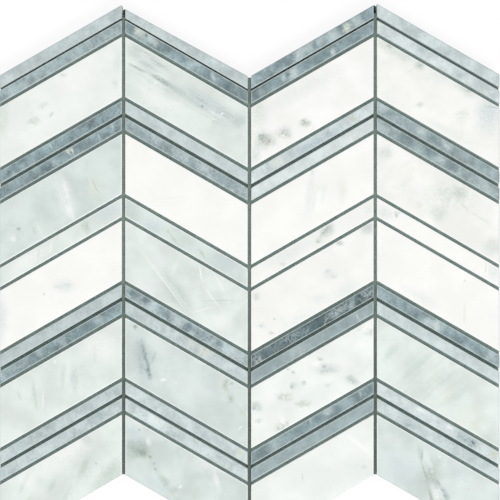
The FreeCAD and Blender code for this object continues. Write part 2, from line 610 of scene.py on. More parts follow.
@dataclass(frozen=True)
class Marble:
    """A stone's finish: its tone, how far its pattern departs from that, and the marks placed on it."""

    tone: Tone
    depth: float
    marks: tuple[Mark, ...]

    #: How far into the face the pale line along the arris, partly wear and partly painted highlight,
    #: reaches and how far of that is whole, and the line's colour and strength.
    WEAR_AND_HIGHLIGHT_REACH = 0.75
    WHOLE = 0.3
    ARRIS_WEAR_AND_HIGHLIGHT = linear(0xFFFFFE)
    ARRIS_WEAR_AND_HIGHLIGHT_STRENGTH = 0.85
    #: How deep below the face the sawn sides begin, and over how much depth they do.
    SAWN = 0.45
    SAWN_FADE = 0.2
    #: How strongly the arris is shaded where it faces away from the sheet, and how far into the face.
    SHADE = 0.3
    SHADE_REACH = 1.0
    #: The size of the chips along the arris and how far they reach.
    CHIP = 1.3
    CHIPPED = 0.9
    #: The size of the saw's dust, and how it is squeezed into lines along the sheet.
    DUST = 1.5
    DUST_SQUEEZE = (0.25, 0.25, 2.5)
    #: How pale the sawn sides are at least, and how much more in the dust.
    SAWN_PALE = 0.15
    DUSTY = 0.3
    #: The size of the pores, and where one begins and is whole.
    PORE = 0.5
    PORE_SPREAD = (0.68, 0.74)
    #: How rough the polished face is, and how much more on its chips, the worn arris and the sawn sides.
    ROUGH = (0.13, 0.06, 0.2, 0.4)
    #: How far chips, dust and pores stand out from the surface or into it, and that relief's depth.
    RELIEF = (0.3, 0.4, -0.2)
    RELIEF_DEPTH = 0.08 * MM
    RELIEF_STRENGTH = 0.5
    #: How far the pattern is moved between one row of stones and the next.
    ROW_SHIFT = (31.7, 17.3, 9.1)

    def pattern(self, veining: Veining, seed: Field) -> Field:
        """The stone's colour before its marks: each kind of marble has its own.

        Args:
            veining: The places on the stone.
            seed: The place, moved so that no two stones vary alike.

        Returns:
            The colour.
        """
        raise NotImplementedError

    def edge_distances(self, paint: Paint, place: Field, outline: Outline) -> tuple[Field, Field | None]:
        """How far a place on the face lies from the stone's edges, in millimetres.

        Args:
            paint: The material's nodes.
            place: The place, from the middle of the face.
            outline: The stone's outline.

        Returns:
            The distance from the nearest edge along a joint, and from the nearest one on the sheet's
            outside, if the stone has any.
        """
        along, across, _ = paint.parts(place)
        lean = outline.fall.value * SLOPE
        half_full = outline.full_height * PER_METRE / 2
        mean_height = (outline.left_height + outline.right_height) * PER_METRE / 2
        taper = (outline.right_height - outline.left_height) / outline.length
        above = across + half_full - along * lean
        below = mean_height + along * taper - above
        half = outline.length * PER_METRE / 2
        distances = {
            "bottom": above * math.cos(CHEVRON), "top": below * math.cos(CHEVRON),
            "left": along + half, "right": half - along,
        }
        nearest: dict[bool, Field | None] = {False: None, True: None}
        for side, distance in distances.items():
            outside = side in outline.outside
            known = nearest[outside]
            nearest[outside] = distance if known is None else paint.maths("MINIMUM", known, distance)
        return nearest[False], nearest[True]

    def material(self, name: str, outline: Outline) -> bpy.types.Material:
        """Makes the finish of one stone.

        Args:
            name: The stone's name.
            outline: The stone's outline, which places the marks and the pale arris line of wear and painted
                highlight.

        Returns:
            The material.
        """
        paint = Paint(bpy.data.materials.new(f"{name}_marble"))
        centred = tuple(-part * PER_METRE for part in outline.centre)
        place = paint.mapped(paint.objects(), Location=centred, Scale=(PER_METRE,) * 3)
        shift = Vector(self.ROW_SHIFT) * int(name[-2:]) + Vector((0.0, 0.0, outline.middle * PER_METRE))
        seed = paint.mapped(place, Location=shift)
        veining = Veining(paint, place, seed, outline.fall)
        colour = self.pattern(veining, seed)
        for mark in self.marks:
            colour = paint.blend(colour, linear(mark.tint.value), mark.mask(veining))

        chips = paint.noise(seed, self.CHIP, rough=0.7)
        near_joint, near_outside = self.edge_distances(paint, place, outline)
        # The pale line along the joints' arrises: partly wear, partly painted highlight.
        arris = paint.step(near_joint + (chips - 0.5) * self.CHIPPED, self.WEAR_AND_HIGHLIGHT_REACH, self.WHOLE)
        colour = paint.blend(colour, self.ARRIS_WEAR_AND_HIGHLIGHT, arris * self.ARRIS_WEAR_AND_HIGHLIGHT_STRENGTH)
        if near_outside is not None:
            shaded = paint.step(near_outside, self.SHADE_REACH, 0.0, high=self.SHADE)
            colour = paint.blend(colour, linear(Tint.STEEL.value), shaded)
        _, _, depth = paint.parts(place)
        sawn = paint.step(depth, -self.SAWN, -self.SAWN - self.SAWN_FADE)
        dust = paint.noise(paint.mapped(seed, Scale=self.DUST_SQUEEZE), self.DUST)
        pale = sawn * (self.SAWN_PALE + self.DUSTY * dust)
        colour = paint.blend(colour, linear(Tint.FROST.value), pale)

        pores = paint.step(paint.noise(seed, self.PORE, detail=2.0), *self.PORE_SPREAD)
        chip_relief, dust_relief, pore_relief = self.RELIEF
        height = (chips - 0.5) * arris * chip_relief + dust * sawn * dust_relief + pores * pore_relief
        polished, on_chips, on_arris, on_sides = self.ROUGH
        roughness = polished + on_chips * chips + on_arris * arris + on_sides * sawn
        relief = paint.bump(height, self.RELIEF_DEPTH, self.RELIEF_STRENGTH)
        return paint.surface(Base_Color=colour, Roughness=roughness, Normal=relief)


@dataclass(frozen=True)
class GreyMarble(Marble):
    """Blue-grey marble, finely mottled, with a faint grain across the strip."""

    #: A pale line along the arris: partly dust, partly painted highlight.
    ARRIS_WEAR_AND_HIGHLIGHT = linear(0xD4DCDA)
    ARRIS_WEAR_AND_HIGHLIGHT_STRENGTH = 0.6
    #: The size of its broad clouds, of its mottle and of its grain.
    CLOUD = 12.0
    MOTTLE = 4.0
    GRAIN = 0.9
    #: Which way the mottle leans, in degrees, and how it is squeezed.
    LEAN = 40.0
    SQUEEZE = (1.0, 0.8, 0.8)
    #: How strong mottle and grain are beside the clouds, and where the three are darkest and lightest.
    FINE = 0.8
    SPREAD = (0.95, 1.65)
    #: How much further than the stone's depth its darkest and lightest parts go.
    RANGE = 4.0

    def pattern(self, veining: Veining, seed: Field) -> Field:
        """A granular mottle over broad, soft clouds.

        Args:
            veining: The places on the stone.
            seed: The place that the mottle is read at.

        Returns:
            The colour.
        """
        paint = veining.paint
        leaning = paint.mapped(seed, Rotation=(0.0, 0.0, math.radians(self.LEAN)), Scale=self.SQUEEZE)
        broad = paint.noise(seed, self.CLOUD)
        mottle = paint.noise(leaning, self.MOTTLE, detail=4.0, rough=0.6)
        grain = paint.noise(seed, self.GRAIN, rough=0.7)
        share = paint.step(broad + (mottle + grain) * self.FINE, *self.SPREAD)
        base, reach = linear(self.tone.value), self.RANGE * self.depth
        return paint.blend(scaled(base, 1 - reach), scaled(base, 1 + reach), share)


@dataclass(frozen=True)
class WhiteMarble(Marble):
    """Warm white marble with cool clouds, thin soft veins and tiny specks."""

    #: The size of its slow clouds, and where they are darkest and lightest.
    CLOUD = 18.0
    CLOUD_SPREAD = (0.3, 0.7)
    #: The size of the pattern that its threads follow, and how wide they are in it.
    THREAD = 11.0
    THREAD_WIDTH = 0.02
    #: The size of the parts that have threads, and where one begins and is whole.
    REGION = 17.0
    REGION_SPREAD = (0.5, 0.62)
    #: The size of its specks, and where one begins and is whole.
    SPECK = 0.7
    SPECK_SPREAD = (0.7, 0.76)
    #: How much further than the stone's depth its darkest and lightest parts go.
    RANGE = 2.8
    #: How strong threads and specks are for the stone's depth, and at most.
    FAINT = 8.0
    MOST = 0.45

    def pattern(self, veining: Veining, seed: Field) -> Field:
        """Slow clouds, a few thread-like veins, and specks here and there.

        Args:
            veining: The places on the stone.
            seed: The place that the clouds are read at.

        Returns:
            The colour.
        """
        paint = veining.paint
        base, reach = linear(self.tone.value), self.RANGE * self.depth
        share = paint.step(paint.noise(seed, self.CLOUD, rough=0.5), *self.CLOUD_SPREAD)
        colour = paint.blend(scaled(base, 1 - reach), scaled(base, 1 + reach), share)
        faint = min(self.MOST, self.FAINT * self.depth)
        ridge = paint.maths("ABSOLUTE", paint.noise(seed, self.THREAD, detail=2.0, rough=0.4) - 0.5)
        region = paint.step(paint.noise(seed, self.REGION, detail=1.0), *self.REGION_SPREAD)
        threads = region * paint.step(ridge, self.THREAD_WIDTH, 0.0, high=faint)
        colour = paint.blend(colour, linear(Tint.MOSS.value), threads)
        specks = paint.step(paint.noise(seed, self.SPECK, detail=2.0), *self.SPECK_SPREAD, high=faint)
        return paint.blend(colour, linear(Tint.OLIVE.value), specks)


#: The finish of each stone, by its node. The marks are placed to about half a millimetre, and in
#: millimetres from the middle of its face.
FINISHES: dict[str, Marble] = {
    "grey_strip_c1_r01": GreyMarble(Tone.DOVE, 0.05, ()),
    "grey_strip_c1_r02": GreyMarble(Tone.ASH, 0.1, (
        Cloud((-2, -3.5), (11.5, 5), Tint.STEEL, 0.4),
        Cloud((-24.5, -14.5), (8.5, 3), Tint.SILVER, 0.3),
    )),
    "white_field_c1_r03": WhiteMarble(Tone.CHALK, 0.015, (
        Cloud((-16, -11.5), (6, 3.5), Tint.MOSS, 0.7, 12),
        Cloud((-5.5, -7.5), (3, 1.5), Tint.MOSS, 0.7, 60),
        Cloud((-34.5, -9.5), (5, 19.5), Tint.MOSS, 0.45, 0),
        Cloud((-10.5, -2), (6, 3), Tint.MOSS, 0.45),
        Cloud((10.5, 14.5), (29, 13.5), Tint.SNOW, 0.5),
        Cloud((33, 11.5), (3, 5), Tint.MOSS, 0.4, 20),
        Cloud((35, 25.5), (6, 13.5), Tint.MOSS, 0.3, 0),
        Cloud((1.5, 16.5), (3, 1.9), Tint.MOSS, 0.5, 0),
    )),
    "grey_strip_c1_r04": GreyMarble(Tone.STORM, 0.14, (
        Cloud((-11.5, -8), (8.5, 5), Tint.SLATE, 0.55),
        Vein((-7.5, 1), (-4.5, -5), 0.6, Tint.SILVER, 0.8, 0.4),
        Vein((-6.5, -3), (-9.5, -0.5), 0.5, Tint.SILVER, 0.5, 0.3),
        Cloud((5, 1), (13.5, 5), Tint.SLATE, 0.35),
        Cloud((31, 6.5), (5, 4), Tint.SLATE, 0.5),
        Cloud((-21.5, -10.5), (5, 3), Tint.SLATE, 0.35),
        Cloud((21, 4), (8.5, 4), Tint.SILVER, 0.3),
        Flecks((-24.5, -13), (8.5, 3.5), Tint.SLATE, 0.4, 0.9),
    )),
    "grey_strip_c1_r05": GreyMarble(Tone.STORM, 0.11, (
        Cloud((4.5, 5.5), (4, 2.1), Tint.CREAM, 0.85, 10),
        Vein((1.5, 6.5), (7.5, 2), 0.9, Tint.CREAM, 0.8, 0.5),
        Vein((6.5, 7.5), (8, 2), 0.9, Tint.CREAM, 0.8, 0.4),
        Cloud((1, 3), (6, 4), Tint.SLATE, 0.55),
        Flecks((-8, -5), (7.5, 4), Tint.INK, 0.7, 0.8),
        Cloud((16.5, 8), (10.5, 5), Tint.SLATE, 0.45),
        Vein((22.5, 15), (24.5, 10.5), 0.9, Tint.SILVER, 0.6, 0.4),
        Vein((31, 22.5), (32, 17), 0.8, Tint.SILVER, 0.6, 0.4),
        Cloud((-24.5, -14), (9.5, 5), Tint.PEWTER, 0.4),
        Cloud((-3.5, -2.5), (3, 3), Tint.SILVER, 0.5),
    )),
    "white_field_c1_r06": WhiteMarble(Tone.SEA_MIST, 0.035, (
        Vein((-1, 15.5), (7, -13.5), 7, Tint.FROST, 0.85, 1.2),
        Vein((3.5, -2), (8, -13.5), 3, Tint.SNOW, 0.7, 1),
        Vein((1, 14), (6, -3.5), 1.8, Tint.SNOW, 0.5, 1),
        Flecks((20.5, 8), (6, 11), Tint.CREAM, 0.8, 0.8, -20),
        Vein((16.5, 16), (19.5, 5.5), 1.5, Tint.CREAM, 0.6, 1),
        Vein((21, 10.5), (24.5, 1.5), 1.5, Tint.CREAM, 0.6, 1),
        Vein((18, 14), (24.5, 2), 0.7, Tint.OLIVE, 0.35, 1.2),
        Cloud((-25.5, -18), (1.9, 1.7), Tint.SLATE, 0.6, 0),
        Vein((-17, -16), (-15, -22), 1.3, Tint.MOSS, 0.7, 0.8),
        Flecks((-15, -19), (6, 6), Tint.CREAM, 0.5, 0.9),
        Flecks((-28.5, -24), (2.5, 3.5), Tint.SNOW, 1, 0.8, 0),
        Vein((-15, -13.5), (-10, -24.5), 1.1, Tint.FROST, 0.5, 1),
        Cloud((21, -3.5), (21.5, 9.5), Tint.JADE, 0.5),
        Cloud((-24.5, -3.5), (15.5, 7.5), Tint.MIST, 0.5),
    )),
    "white_accent_c1_r07": WhiteMarble(Tone.MILK, 0.025, (
        Cloud((15.5, 9.5), (4, 7.5), Tint.MOSS, 0.7, 15),
        Vein((16.5, 13), (15.5, 6.5), 0.9, Tint.SMOKE, 0.4),
        Cloud((13, 10), (1.4, 1.4), Tint.OCHRE, 0.6),
        Cloud((-18.5, -9.5), (21.5, 8.5), Tint.SNOW, 0.6),
        Vein((-13, -2), (-14, -12.5), 0.9, Tint.MOSS, 0.4, 0.5),
        Vein((-5, 0.5), (-6.5, -6.5), 1.4, Tint.SNOW, 0.6, 0.4),
        Cloud((28, 18.5), (13.5, 7.5), Tint.HAZE, 0.7),
    )),
    "white_field_c1_r08": WhiteMarble(Tone.PURE, 0.008, (
        Cloud((2, 0), (9.5, 6), Tint.MIST, 0.7, -20),
        Cloud((4.5, 0.5), (5, 4), Tint.JADE, 0.4),
        Cloud((-1.5, -0.5), (5, 1.9), Tint.JADE, 0.4, -20),
        Speck((-10, -5), (1.2, 1.5), Tint.OLIVE, 0.4, 0),
        Cloud((-35.5, -19.5), (5, 21.5), Tint.HAZE, 0.5, 0),
    )),
    "grey_strip_c1_r09": GreyMarble(Tone.DOVE, 0.05, (
        Cloud((12, 8), (9.5, 5), Tint.PEWTER, 0.45),
        Cloud((-18.5, -11.5), (11.5, 5), Tint.PEWTER, 0.35),
        Cloud((29, 16.5), (8.5, 4), Tint.SILVER, 0.5),
        Cloud((-1.5, -0.5), (7.5, 3), Tint.SILVER, 0.35),
        Cloud((-31.5, -18), (7.5, 4), Tint.SILVER, 0.3),
    )),
    "grey_strip_c1_r10": GreyMarble(Tone.STORM, 0.13, (
        Cloud((15.5, 8.5), (12.5, 5.5), Tint.SLATE, 0.65),
        Cloud((23.5, 14), (5, 4), Tint.SILVER, 0.45),
        Cloud((-7, -5), (6, 4.5), Tint.SLATE, 0.55),
        Speck((-7, -6), (1, 1), Tint.OCHRE, 0.5),
        Cloud((1.5, 0), (5, 5), Tint.SILVER, 0.5),
        Cloud((-13, -6), (4, 5), Tint.SILVER, 0.5),
        Cloud((-28, -16.5), (7.5, 5), Tint.SLATE, 0.4),
        Flecks((-19.5, -11), (15, 5), Tint.INK, 0.55, 0.7),
        Flecks((-24.5, -14), (13.5, 5), Tint.SILVER, 0.5, 0.7),
        Flecks((3.5, 0.5), (29, 5), Tint.INK, 0.4, 0.5),
        Flecks((30, 17.5), (8.5, 4), Tint.SLATE, 0.5, 0.8),
        Cloud((-35.5, -20), (3, 4), Tint.SILVER, 0.5),
    )),
    "white_field_c1_r11": WhiteMarble(Tone.MILK, 0.025, (
        Vein((-17, 3), (-14, -18.5), 2, Tint.MOSS, 0.6, 1),
        Vein((-18, 2), (-15.5, -17.5), 0.6, Tint.CREAM, 0.6, 1),
        Vein((2, 14), (1, -5.5), 2.3, Tint.MOSS, 0.45, 0.8),
        Vein((7, 13), (9.5, -8.5), 3.5, Tint.SMOKE, 0.3, 1),
        Vein((-10.5, -3), (-11, -18.5), 0.9, Tint.SNOW, 0.6),
        Vein((20.5, 27.5), (21, 10.5), 1.8, Tint.MOSS, 0.45, 0.8),
        Cloud((24, 23), (15.5, 13.5), Tint.SNOW, 0.6, 0),
        Speck((-3.5, 13), (1.5, 1.5), Tint.SNOW, 0.9),
        Vein((-26, -3), (-24, -11.5), 1.8, Tint.MOSS, 0.4, 0.8),
        Cloud((-6.5, 5), (8.5, 13.5), Tint.MOSS, 0.35, 0),
    )),
    "grey_strip_c1_r12": GreyMarble(Tone.DOVE, 0.06, (
        Cloud((16.5, 9.5), (8.5, 5), Tint.PEWTER, 0.45),
        Cloud((-24.5, -14), (9.5, 5), Tint.PEWTER, 0.5),
        Cloud((1, -0.5), (7.5, 4), Tint.SILVER, 0.4),
    )),
    "grey_strip_c1_r13": GreyMarble(Tone.DOVE, 0.06, (
        Cloud((21.5, 14), (9.5, 5), Tint.PEWTER, 0.55),
        Cloud((24.5, 15), (4, 3.5), Tint.STEEL, 0.4),
        Cloud((0, 0.5), (9.5, 4), Tint.PEWTER, 0.3),
        Cloud((-24.5, -13.5), (7.5, 4), Tint.SILVER, 0.4),
    )),
    "white_field_c1_r14": WhiteMarble(Tone.MILK, 0.03, (
        Vein((10.5, 1), (18, 15.5), 3, Tint.MOSS, 0.8, 1),
        Vein((18, -9.5), (35, 10), 7.5, Tint.MOSS, 0.6, 1.2),
        Cloud((32, 5), (11.5, 8.5), Tint.MOSS, 0.6, 50),
        Vein((-25.5, -9.5), (-18, 7.5), 2.5, Tint.MOSS, 0.5, 1),
        Speck((21.5, 10), (1.1, 1.1), Tint.OLIVE, 0.6),
        Cloud((15.5, 24.5), (5, 6), Tint.SMOKE, 0.45, 60),
        Vein((-7.5, -8.5), (-2.5, 1.5), 2.4, Tint.MOSS, 0.6, 0.9),
        Cloud((1, 15.5), (33, 11.5), Tint.SNOW, 0.6),
        Vein((-24.5, -24), (-16, -7), 3.5, Tint.MOSS, 0.5, 1),
        Vein((0, -15.5), (7, -2), 2.4, Tint.MOSS, 0.45, 0.9),
        Cloud((-19.5, -1), (17.5, 7), Tint.SNOW, 0.4, -40),
    )),
    "grey_strip_c2_r01": GreyMarble(Tone.GULL, 0.05, (
        Cloud((-16, 8), (8.5, 3), Tint.SILVER, 0.4),
    )),
    "grey_strip_c2_r02": GreyMarble(Tone.FLINT, 0.13, (
        Cloud((-34, 21), (5, 5), Tint.SLATE, 0.5),
        Cloud((-27, 17), (8.5, 5), Tint.CREAM, 0.55),
        Cloud((-29.5, 18.5), (3, 3), Tint.CREAM, 0.5),
        Cloud((-24.5, 16), (1.9, 2.3), Tint.INK, 0.7, 0),
        Cloud((-19, 12), (6, 3.5), Tint.CREAM, 0.45),
        Cloud((-11.5, 8.5), (7.5, 4.5), Tint.SLATE, 0.6),
        Cloud((-2.5, 2.5), (8.5, 4), Tint.SLATE, 0.45),
        Cloud((4, -0.5), (5, 4), Tint.SILVER, 0.3),
        Cloud((12.5, -6), (7.5, 5), Tint.SLATE, 0.65),
        Vein((15, -5.5), (17.5, -12), 1.8, Tint.SILVER, 0.75, 0.5),
        Cloud((24, -14.5), (7.5, 5), Tint.SLATE, 0.65),
        Flecks((24, -15), (3.5, 2.5), Tint.INK, 0.7, 0.9, 0),
        Cloud((31, -19), (6, 3), Tint.STEEL, 0.4),
    )),
    "white_field_c2_r03": WhiteMarble(Tone.MILK, 0.03, (
        Lines((-22, 25.5), (20.5, 7.5), Tint.SMOKE, 0.7, 1),
        Vein((-36.5, 24), (-22.5, 17), 1.2, Tint.SMOKE, 0.75, 0.7),
        Vein((-24.5, 19), (-5, 6.5), 2.5, Tint.SMOKE, 0.85, 0.8),
        Vein((-10, 9.5), (2, 3), 3.5, Tint.SMOKE, 0.45, 0.8),
        Cloud((15.5, -3), (33, 7.5), Tint.SILVER, 0.8),
        Lines((13, -2.5), (29, 8.5), Tint.SMOKE, 0.6, 1),
        Cloud((-31.5, 31.5), (7.5, 7.5), Tint.MOSS, 0.5),
        Lines((-16, 8.5), (25.5, 7), Tint.MOSS, 0.5, 1),
        Vein((-20, 10.5), (-18, 12), 0.8, Tint.SNOW, 0.95, 0.4),
        Flecks((-16, 10.5), (7.5, 2.5), Tint.SNOW, 0.4, 0.8),
        Vein((20.5, -8), (22.5, -6), 0.8, Tint.SNOW, 0.95, 0.4),
        Flecks((16.5, -7), (8.5, 3.5), Tint.SNOW, 0.5, 0.9),
        Vein((15.5, -10), (18, -11), 0.7, Tint.SNOW, 0.9, 0.3),
        Speck((9.5, -2.5), (1.1, 1.1), Tint.OLIVE, 1),
        Cloud((-17, 2.5), (21.5, 7.5), Tint.SNOW, 0.5),
        Flecks((18, -12.5), (3.5, 2.1), Tint.OLIVE, 0.5, 0.8, 0),
        Cloud((32.5, -11), (6, 7.5), Tint.SMOKE, 0.35),
    )),
    "grey_strip_c2_r04": GreyMarble(Tone.PEARL, 0.04, (
        Cloud((-19.5, 11), (5, 5), Tint.PEWTER, 0.45),
    )),
    "grey_strip_c2_r05": GreyMarble(Tone.CINDER, 0.12, (
        Cloud((-27.5, 15.5), (9.5, 5), Tint.STEEL, 0.6),
        Cloud((21.5, -12), (13.5, 5.5), Tint.STEEL, 0.5),
        Cloud((-13, 7.5), (7, 4), Tint.STEEL, 0.4),
        Cloud((10.5, -5.5), (7, 4), Tint.SILVER, 0.4),
        Cloud((-2.5, 2), (7, 4), Tint.SILVER, 0.35),
        Cloud((27.5, -15), (5, 4), Tint.SLATE, 0.35),
    )),
    "white_field_c2_r06": WhiteMarble(Tone.PURE, 0.008, (
        Vein((-20, 0), (3.5, 2), 0.4, Tint.MIST, 0.35, 0.4),
    )),
    "white_accent_c2_r07": WhiteMarble(Tone.SEA_MIST, 0.04, (
        Cloud((-11.5, 7), (1.5, 1.7), Tint.OLIVE, 0.8, 0),
        Cloud((-12.5, 8), (4, 3), Tint.CREAM, 0.7),
        Vein((-11, 6.5), (-5, -1.5), 1.3, Tint.OLIVE, 0.4, 0.8),
        Cloud((-8.5, 4), (5, 3), Tint.CREAM, 0.4, -50),
        Cloud((-21, 9), (11.5, 7), Tint.HAZE, 0.8),
        Cloud((-30.5, 15.5), (6, 7), Tint.MOSS, 0.4, 0),
        Cloud((-1.5, 0.5), (7, 7), Tint.MOSS, 0.4),
        Flecks((9.5, -6.5), (2.1, 2.1), Tint.OCHRE, 0.6, 0.9),
        Vein((7, -3.5), (12, -10.5), 1.1, Tint.OLIVE, 0.45, 0.8),
        Cloud((21.5, -11.5), (11.5, 7), Tint.HAZE, 0.7),
        Cloud((33, -18.5), (4, 6), Tint.MOSS, 0.4, 0),
        Cloud((2, -2), (38.5, 7.5), Tint.JADE, 0.4),
    )),
    "white_field_c2_r08": WhiteMarble(Tone.MILK, 0.03, (
        Vein((-23, 17), (7, -19.5), 8, Tint.MOSS, 0.45, 2.5),
        Cloud((-5, -6.5), (13.5, 7.5), Tint.SMOKE, 0.3, -50),
        Vein((-31.5, 26.5), (3, -19.5), 0.7, Tint.SNOW, 0.7, 0.3),
        Vein((-28, 22), (6, -19.5), 2.2, Tint.FROST, 0.5),
        Vein((7.5, 13.5), (10, 1), 1.1, Tint.SNOW, 0.7, 0.5),
        Vein((16, 8.5), (24, -6), 0.9, Tint.SNOW, 0.65, 0.5),
        Vein((8, 2.5), (22.5, -15.5), 1, Tint.SNOW, 0.6, 0.5),
        Vein((-37, 8.5), (-24.5, -8), 0.6, Tint.CREAM, 0.6, 0.5),
        Cloud((-16, 14.5), (11.5, 7), Tint.FROST, 0.5, 20),
        Cloud((-24.5, -1), (13.5, 9.5), Tint.FROST, 0.5, 0),
        Vein((6.5, -9), (33, -8.5), 0.5, Tint.SMOKE, 0.35, 0.3),
        Vein((2, -16.5), (18, -12), 0.7, Tint.SNOW, 0.6, 0.4),
        Vein((31, -2.5), (36, -30.5), 1.1, Tint.CREAM, 0.6, 1),
        Cloud((21.5, -22), (11.5, 7.5), Tint.SNOW, 0.45),
        Cloud((-1, 11), (13.5, 7), Tint.MOSS, 0.35, -50),
    )),
    "grey_strip_c2_r09": GreyMarble(Tone.CINDER, 0.13, (
        Cloud((-32.5, 19), (7, 5.5), Tint.SLATE, 0.85),
        Cloud((-25, 16), (4, 3.5), Tint.SLATE, 0.8, 0),
        Vein((-36.5, 20.5), (-33.5, 16.5), 0.9, Tint.SILVER, 0.7, 0.4),
        Cloud((-21, 13), (4, 3), Tint.SILVER, 0.4),
        Cloud((-13, 8.5), (9.5, 5.5), Tint.SLATE, 0.7),
        Cloud((-5, 2.5), (5, 5), Tint.SILVER, 0.75),
        Cloud((1.5, -0.5), (4, 4), Tint.INK, 0.6),
        Cloud((1.5, 0), (7, 5), Tint.SLATE, 0.6),
        Cloud((10, -5.5), (8.5, 5), Tint.SLATE, 0.65),
        Cloud((16, -9.5), (4, 3), Tint.SILVER, 0.6),
        Cloud((19, -10.5), (4, 4.5), Tint.SLATE, 0.75, -50),
        Cloud((29, -17), (9.5, 5), Tint.SILVER, 0.7),
    )),
    "grey_strip_c2_r10": GreyMarble(Tone.GULL, 0.05, (
        Cloud((3, -0.5), (5, 4), Tint.CREAM, 0.6),
        Cloud((11, -5.5), (7, 4.5), Tint.CREAM, 0.65),
        Cloud((12, -6), (3.5, 2.3), Tint.OCHRE, 0.3),
        Cloud((11, -4.5), (1.2, 1), Tint.SMOKE, 0.6, 0),
        Speck((-30.5, 17.5), (1.4, 1.4), Tint.SMOKE, 0.6),
        Speck((-3.5, 2.5), (1.5, 1.5), Tint.SMOKE, 0.5),
        Cloud((18, -10.5), (7, 4), Tint.HAZE, 0.5),
    )),
    "white_field_c2_r11": WhiteMarble(Tone.SEA_MIST, 0.03, (
        Cloud((-25.5, 13), (9.5, 21.5), Tint.SMOKE, 0.4, 12),
        Cloud((-27, 22.5), (5, 8.5), Tint.SMOKE, 0.45, 10),
        Vein((-27.5, 27.5), (-24, 10.5), 1.8, Tint.SLATE, 0.4, 1.2),
        Vein((-25.5, 19), (-21.5, 2.5), 1.8, Tint.SLATE, 0.6, 1.4),
        Vein((-28.5, 20), (-27, 3), 2.5, Tint.SMOKE, 0.45, 1.5),
        Cloud((-22.5, 5), (2.3, 5), Tint.SLATE, 0.45, 15),
        Cloud((-24, 8.5), (3, 2.5), Tint.SLATE, 0.45, 0),
        Vein((-21.5, 11.5), (-18, 20), 1.3, Tint.SMOKE, 0.5, 0.8),
        Speck((-31, 34), (2, 2.5), Tint.OLIVE, 0.8, 0),
        Speck((-14, 2), (3, 1.8), Tint.SNOW, 1, 0),
        Speck((-6.5, 0), (1.1, 1.1), Tint.SNOW, 0.9),
        Vein((19.5, 4.5), (26.5, -9), 4, Tint.CREAM, 0.5, 1),
        Vein((21.5, 3), (26.5, -10), 2.2, Tint.MOSS, 0.6, 1.2),
        Flecks((24, -0.5), (4, 7.5), Tint.OLIVE, 0.5, 1, -25),
        Flecks((26.5, -9.5), (3.5, 4), Tint.OLIVE, 0.5, 1, 0),
        Cloud((27.5, -0.5), (1.5, 1.5), Tint.SMOKE, 0.6),
        Vein((29, -11.5), (37.5, -23), 1.3, Tint.OCHRE, 0.3, 1.4),
        Vein((31, -28.5), (34, -25.5), 0.7, Tint.SNOW, 0.9, 0.4),
        Cloud((2, -1), (29, 13.5), Tint.FROST, 0.3),
        Cloud((-13, 20), (19.5, 9.5), Tint.FROST, 0.3),
    )),
    "grey_strip_c2_r12": GreyMarble(Tone.PEARL, 0.05, (
        Cloud((32.5, -18), (3.5, 3), Tint.CREAM, 0.7),
        Speck((32.5, -18), (2, 1.6), Tint.OCHRE, 0.9),
        Cloud((9.5, -6), (7, 5), Tint.PEWTER, 0.5),
    )),
    "grey_strip_c2_r13": GreyMarble(Tone.PEARL, 0.06, (
        Cloud((-2.5, 2), (6, 4), Tint.PEWTER, 0.55),
        Cloud((-33, 20), (4.5, 3.5), Tint.PEWTER, 0.5),
        Cloud((-18.5, 11.5), (8.5, 4), Tint.SNOW, 0.3),
        Flecks((-4, 1), (12, 4), Tint.PEWTER, 0.4, 1),
        Flecks((-28, 17.5), (8.5, 3.5), Tint.PEWTER, 0.3, 1),
    )),
    "white_field_c2_r14": WhiteMarble(Tone.SEA_MIST, 0.035, (
        Cloud((-29.5, 19), (12.5, 7.5), Tint.SMOKE, 0.75, 35),
        Cloud((-29.5, 17), (9.5, 6), Tint.MOSS, 0.6, 35),
        Cloud((-27.5, 16.5), (7, 3.5), Tint.SLATE, 0.5, -20),
        Cloud((-33.5, 21.5), (4, 5), Tint.SMOKE, 0.5, 0),
        Cloud((-31.5, 27.5), (6, 7), Tint.HAZE, 0.7, 0),
        Flecks((-25.5, 16.5), (7.5, 5), Tint.OLIVE, 0.4, 0.9, -20),
        Speck((-22, 14), (2.2, 1.5), Tint.OLIVE, 0.6, -40),
        Speck((-19.5, 10), (0.9, 1.3), Tint.OLIVE, 0.6, 0),
        Vein((-19.5, 7.5), (-18, 5.5), 0.9, Tint.SLATE, 0.6, 0.4),
        Vein((-24, 14.5), (-18.5, 7), 0.9, Tint.MOSS, 0.6),
        Vein((-19.5, 8.5), (-8.5, -8.5), 3, Tint.MOSS, 0.6, 1.4),
        Flecks((-13, -1), (3.5, 5), Tint.OLIVE, 0.4, 0.9, 30),
        Flecks((-7, -7), (5, 3), Tint.OLIVE, 0.5, 0.8),
        Flecks((-6.5, -8.5), (4, 3.5), Tint.SNOW, 0.5, 0.8, 0),
        Speck((-28.5, 30.5), (1.2, 1.2), Tint.OLIVE, 0.6),
        Vein((-5, -5), (-2.5, -3), 0.9, Tint.SNOW, 0.9, 0.4),
        Vein((-24, 27), (-22, 19.5), 2.5, Tint.SNOW, 0.5),
        Vein((-11, -4.5), (0, -19), 1.8, Tint.MOSS, 0.45, 1.2),
        Cloud((11, 11), (15.5, 9.5), Tint.SNOW, 0.35),
        Cloud((-17, -2), (13.5, 7), Tint.HAZE, 0.5),
        Vein((16, 7.5), (20.5, -8.5), 2.2, Tint.SNOW, 0.5, 0.8),
        Cloud((6, -7), (13.5, 7.5), Tint.MOSS, 0.35, 0),
    )),
    "grey_strip_c3_r01": GreyMarble(Tone.FLINT, 0.12, (
        Cloud((-8, -4.5), (4, 8.5), Tint.SILVER, 0.85, -10),
        Cloud((-2.5, 0), (7, 4.5), Tint.SILVER, 0.7),
        Cloud((1, 1), (2.3, 3.5), Tint.SLATE, 0.75, 0),
